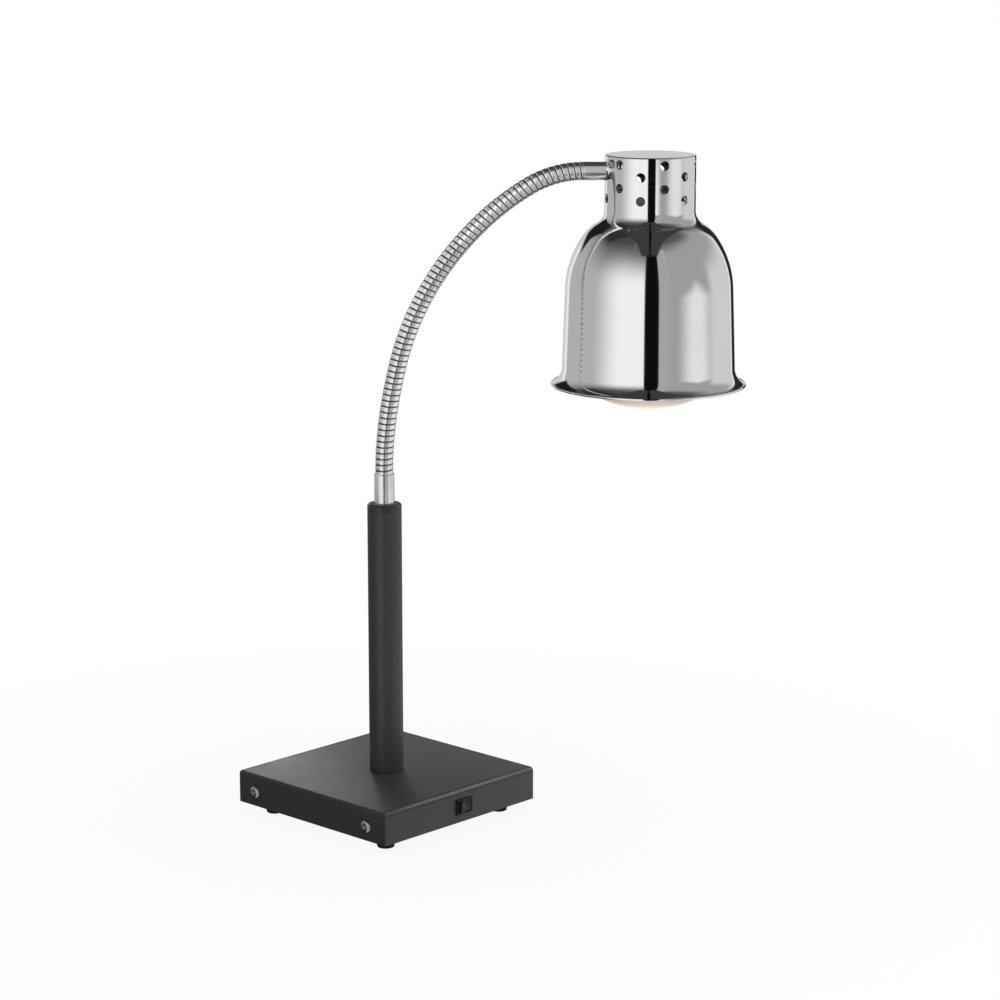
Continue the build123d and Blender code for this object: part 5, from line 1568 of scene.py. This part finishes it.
        # Dark flags behind on the right, behind on the left and low on the left
        level = panel(level, 0.02, 148, 168, 1.5, -90, 30, 6)
        level = panel(level, 0.012, -178, -134, 3, 13, 42, 3)
        level = panel(level, 0.0, -170, -50, 6, -60, -13, 2)
        # White panel low on the right
        level = panel(level, 1.0, 62, 125, 8, -60, -13, 2)
        # Dark flags high on the left
        level = panel(level, 0.07, -90, -40, 8, 55, 90, 5)
        level = panel(level, 0.03, -160, -90, 8, 42, 90, 8)
        # Dark flag overhead, narrower towards the camera, with a black seam along it
        height = finish.node("ShaderNodeMath", {"operation": "MAXIMUM"}, {0: up, 1: 0.05})
        ahead = toward / height
        across = right / height
        edge = 0.36 - 0.13 * ahead
        beside = finish.node("ShaderNodeMath", {"operation": "ABSOLUTE"}, {0: across})
        flag = finish.ramp(beside - edge, 0.02, -0.02) * finish.window(ahead, -0.75, 0.92, 0.03)
        flag = flag * finish.ramp(rise, 30, 40)
        level = level + (0.045 - level) * flag
        seam = finish.window(across, -0.012, 0.03, 0.006) * flag
        level = level + (0.0 - level) * seam
        # Black upright flag where the camera stands
        return panel(level, 0.003, -6, 13.5, 0.8, -90, 48, 2)


# Settings, panel and registration

class LampSettings(bpy.types.PropertyGroup):
    """All settings of the heat lamp."""
    base: PointerProperty(type=BaseSizes)
    screws: PointerProperty(type=ScrewSizes)
    neck: PointerProperty(type=NeckSizes)
    shade: PointerProperty(type=ShadeSizes)
    bulb: PointerProperty(type=BulbSizes)
    switch: PointerProperty(type=SwitchSizes)
    gland: PointerProperty(type=GlandSizes)
    colours: PointerProperty(type=FinishColours)


OPERATORS = (
    HEATLAMP_OT_finishes,
    HEATLAMP_OT_cover,
    HEATLAMP_OT_screws,
    HEATLAMP_OT_feet,
    HEATLAMP_OT_post,
    HEATLAMP_OT_ferrules,
    HEATLAMP_OT_neck,
    HEATLAMP_OT_shade,
    HEATLAMP_OT_bulb,
    HEATLAMP_OT_switch,
    HEATLAMP_OT_gland,
    HEATLAMP_OT_stage,
)


class HEATLAMP_PT_sidebar(bpy.types.Panel):
    """Panel in the 3D view's sidebar with one button for each operator"""
    bl_idname = "HEATLAMP_PT_sidebar"
    bl_label = "Heat Lamp"
    bl_space_type = "VIEW_3D"
    bl_region_type = "UI"
    bl_category = "Heat Lamp"

    def draw(self, context):
        for operator in OPERATORS:
            self.layout.operator(operator.bl_idname)


CLASSES = (BaseSizes, ScrewSizes, NeckSizes, ShadeSizes, BulbSizes, SwitchSizes, GlandSizes,
           FinishColours, LampSettings, *OPERATORS, HEATLAMP_PT_sidebar)


def register():
    """Registers the settings, the operators and the panel."""
    for item in CLASSES:
        bpy.utils.register_class(item)
    bpy.types.Scene.heat_lamp = PointerProperty(type=LampSettings)


def unregister():
    """Takes them away again."""
    del bpy.types.Scene.heat_lamp
    for item in reversed(CLASSES):
        bpy.utils.unregister_class(item)


def main():
    register()
    for operator in OPERATORS:
        family, name = operator.bl_idname.split(".")
        getattr(getattr(bpy.ops, family), name)()


if __name__ == "__main__":
    main()
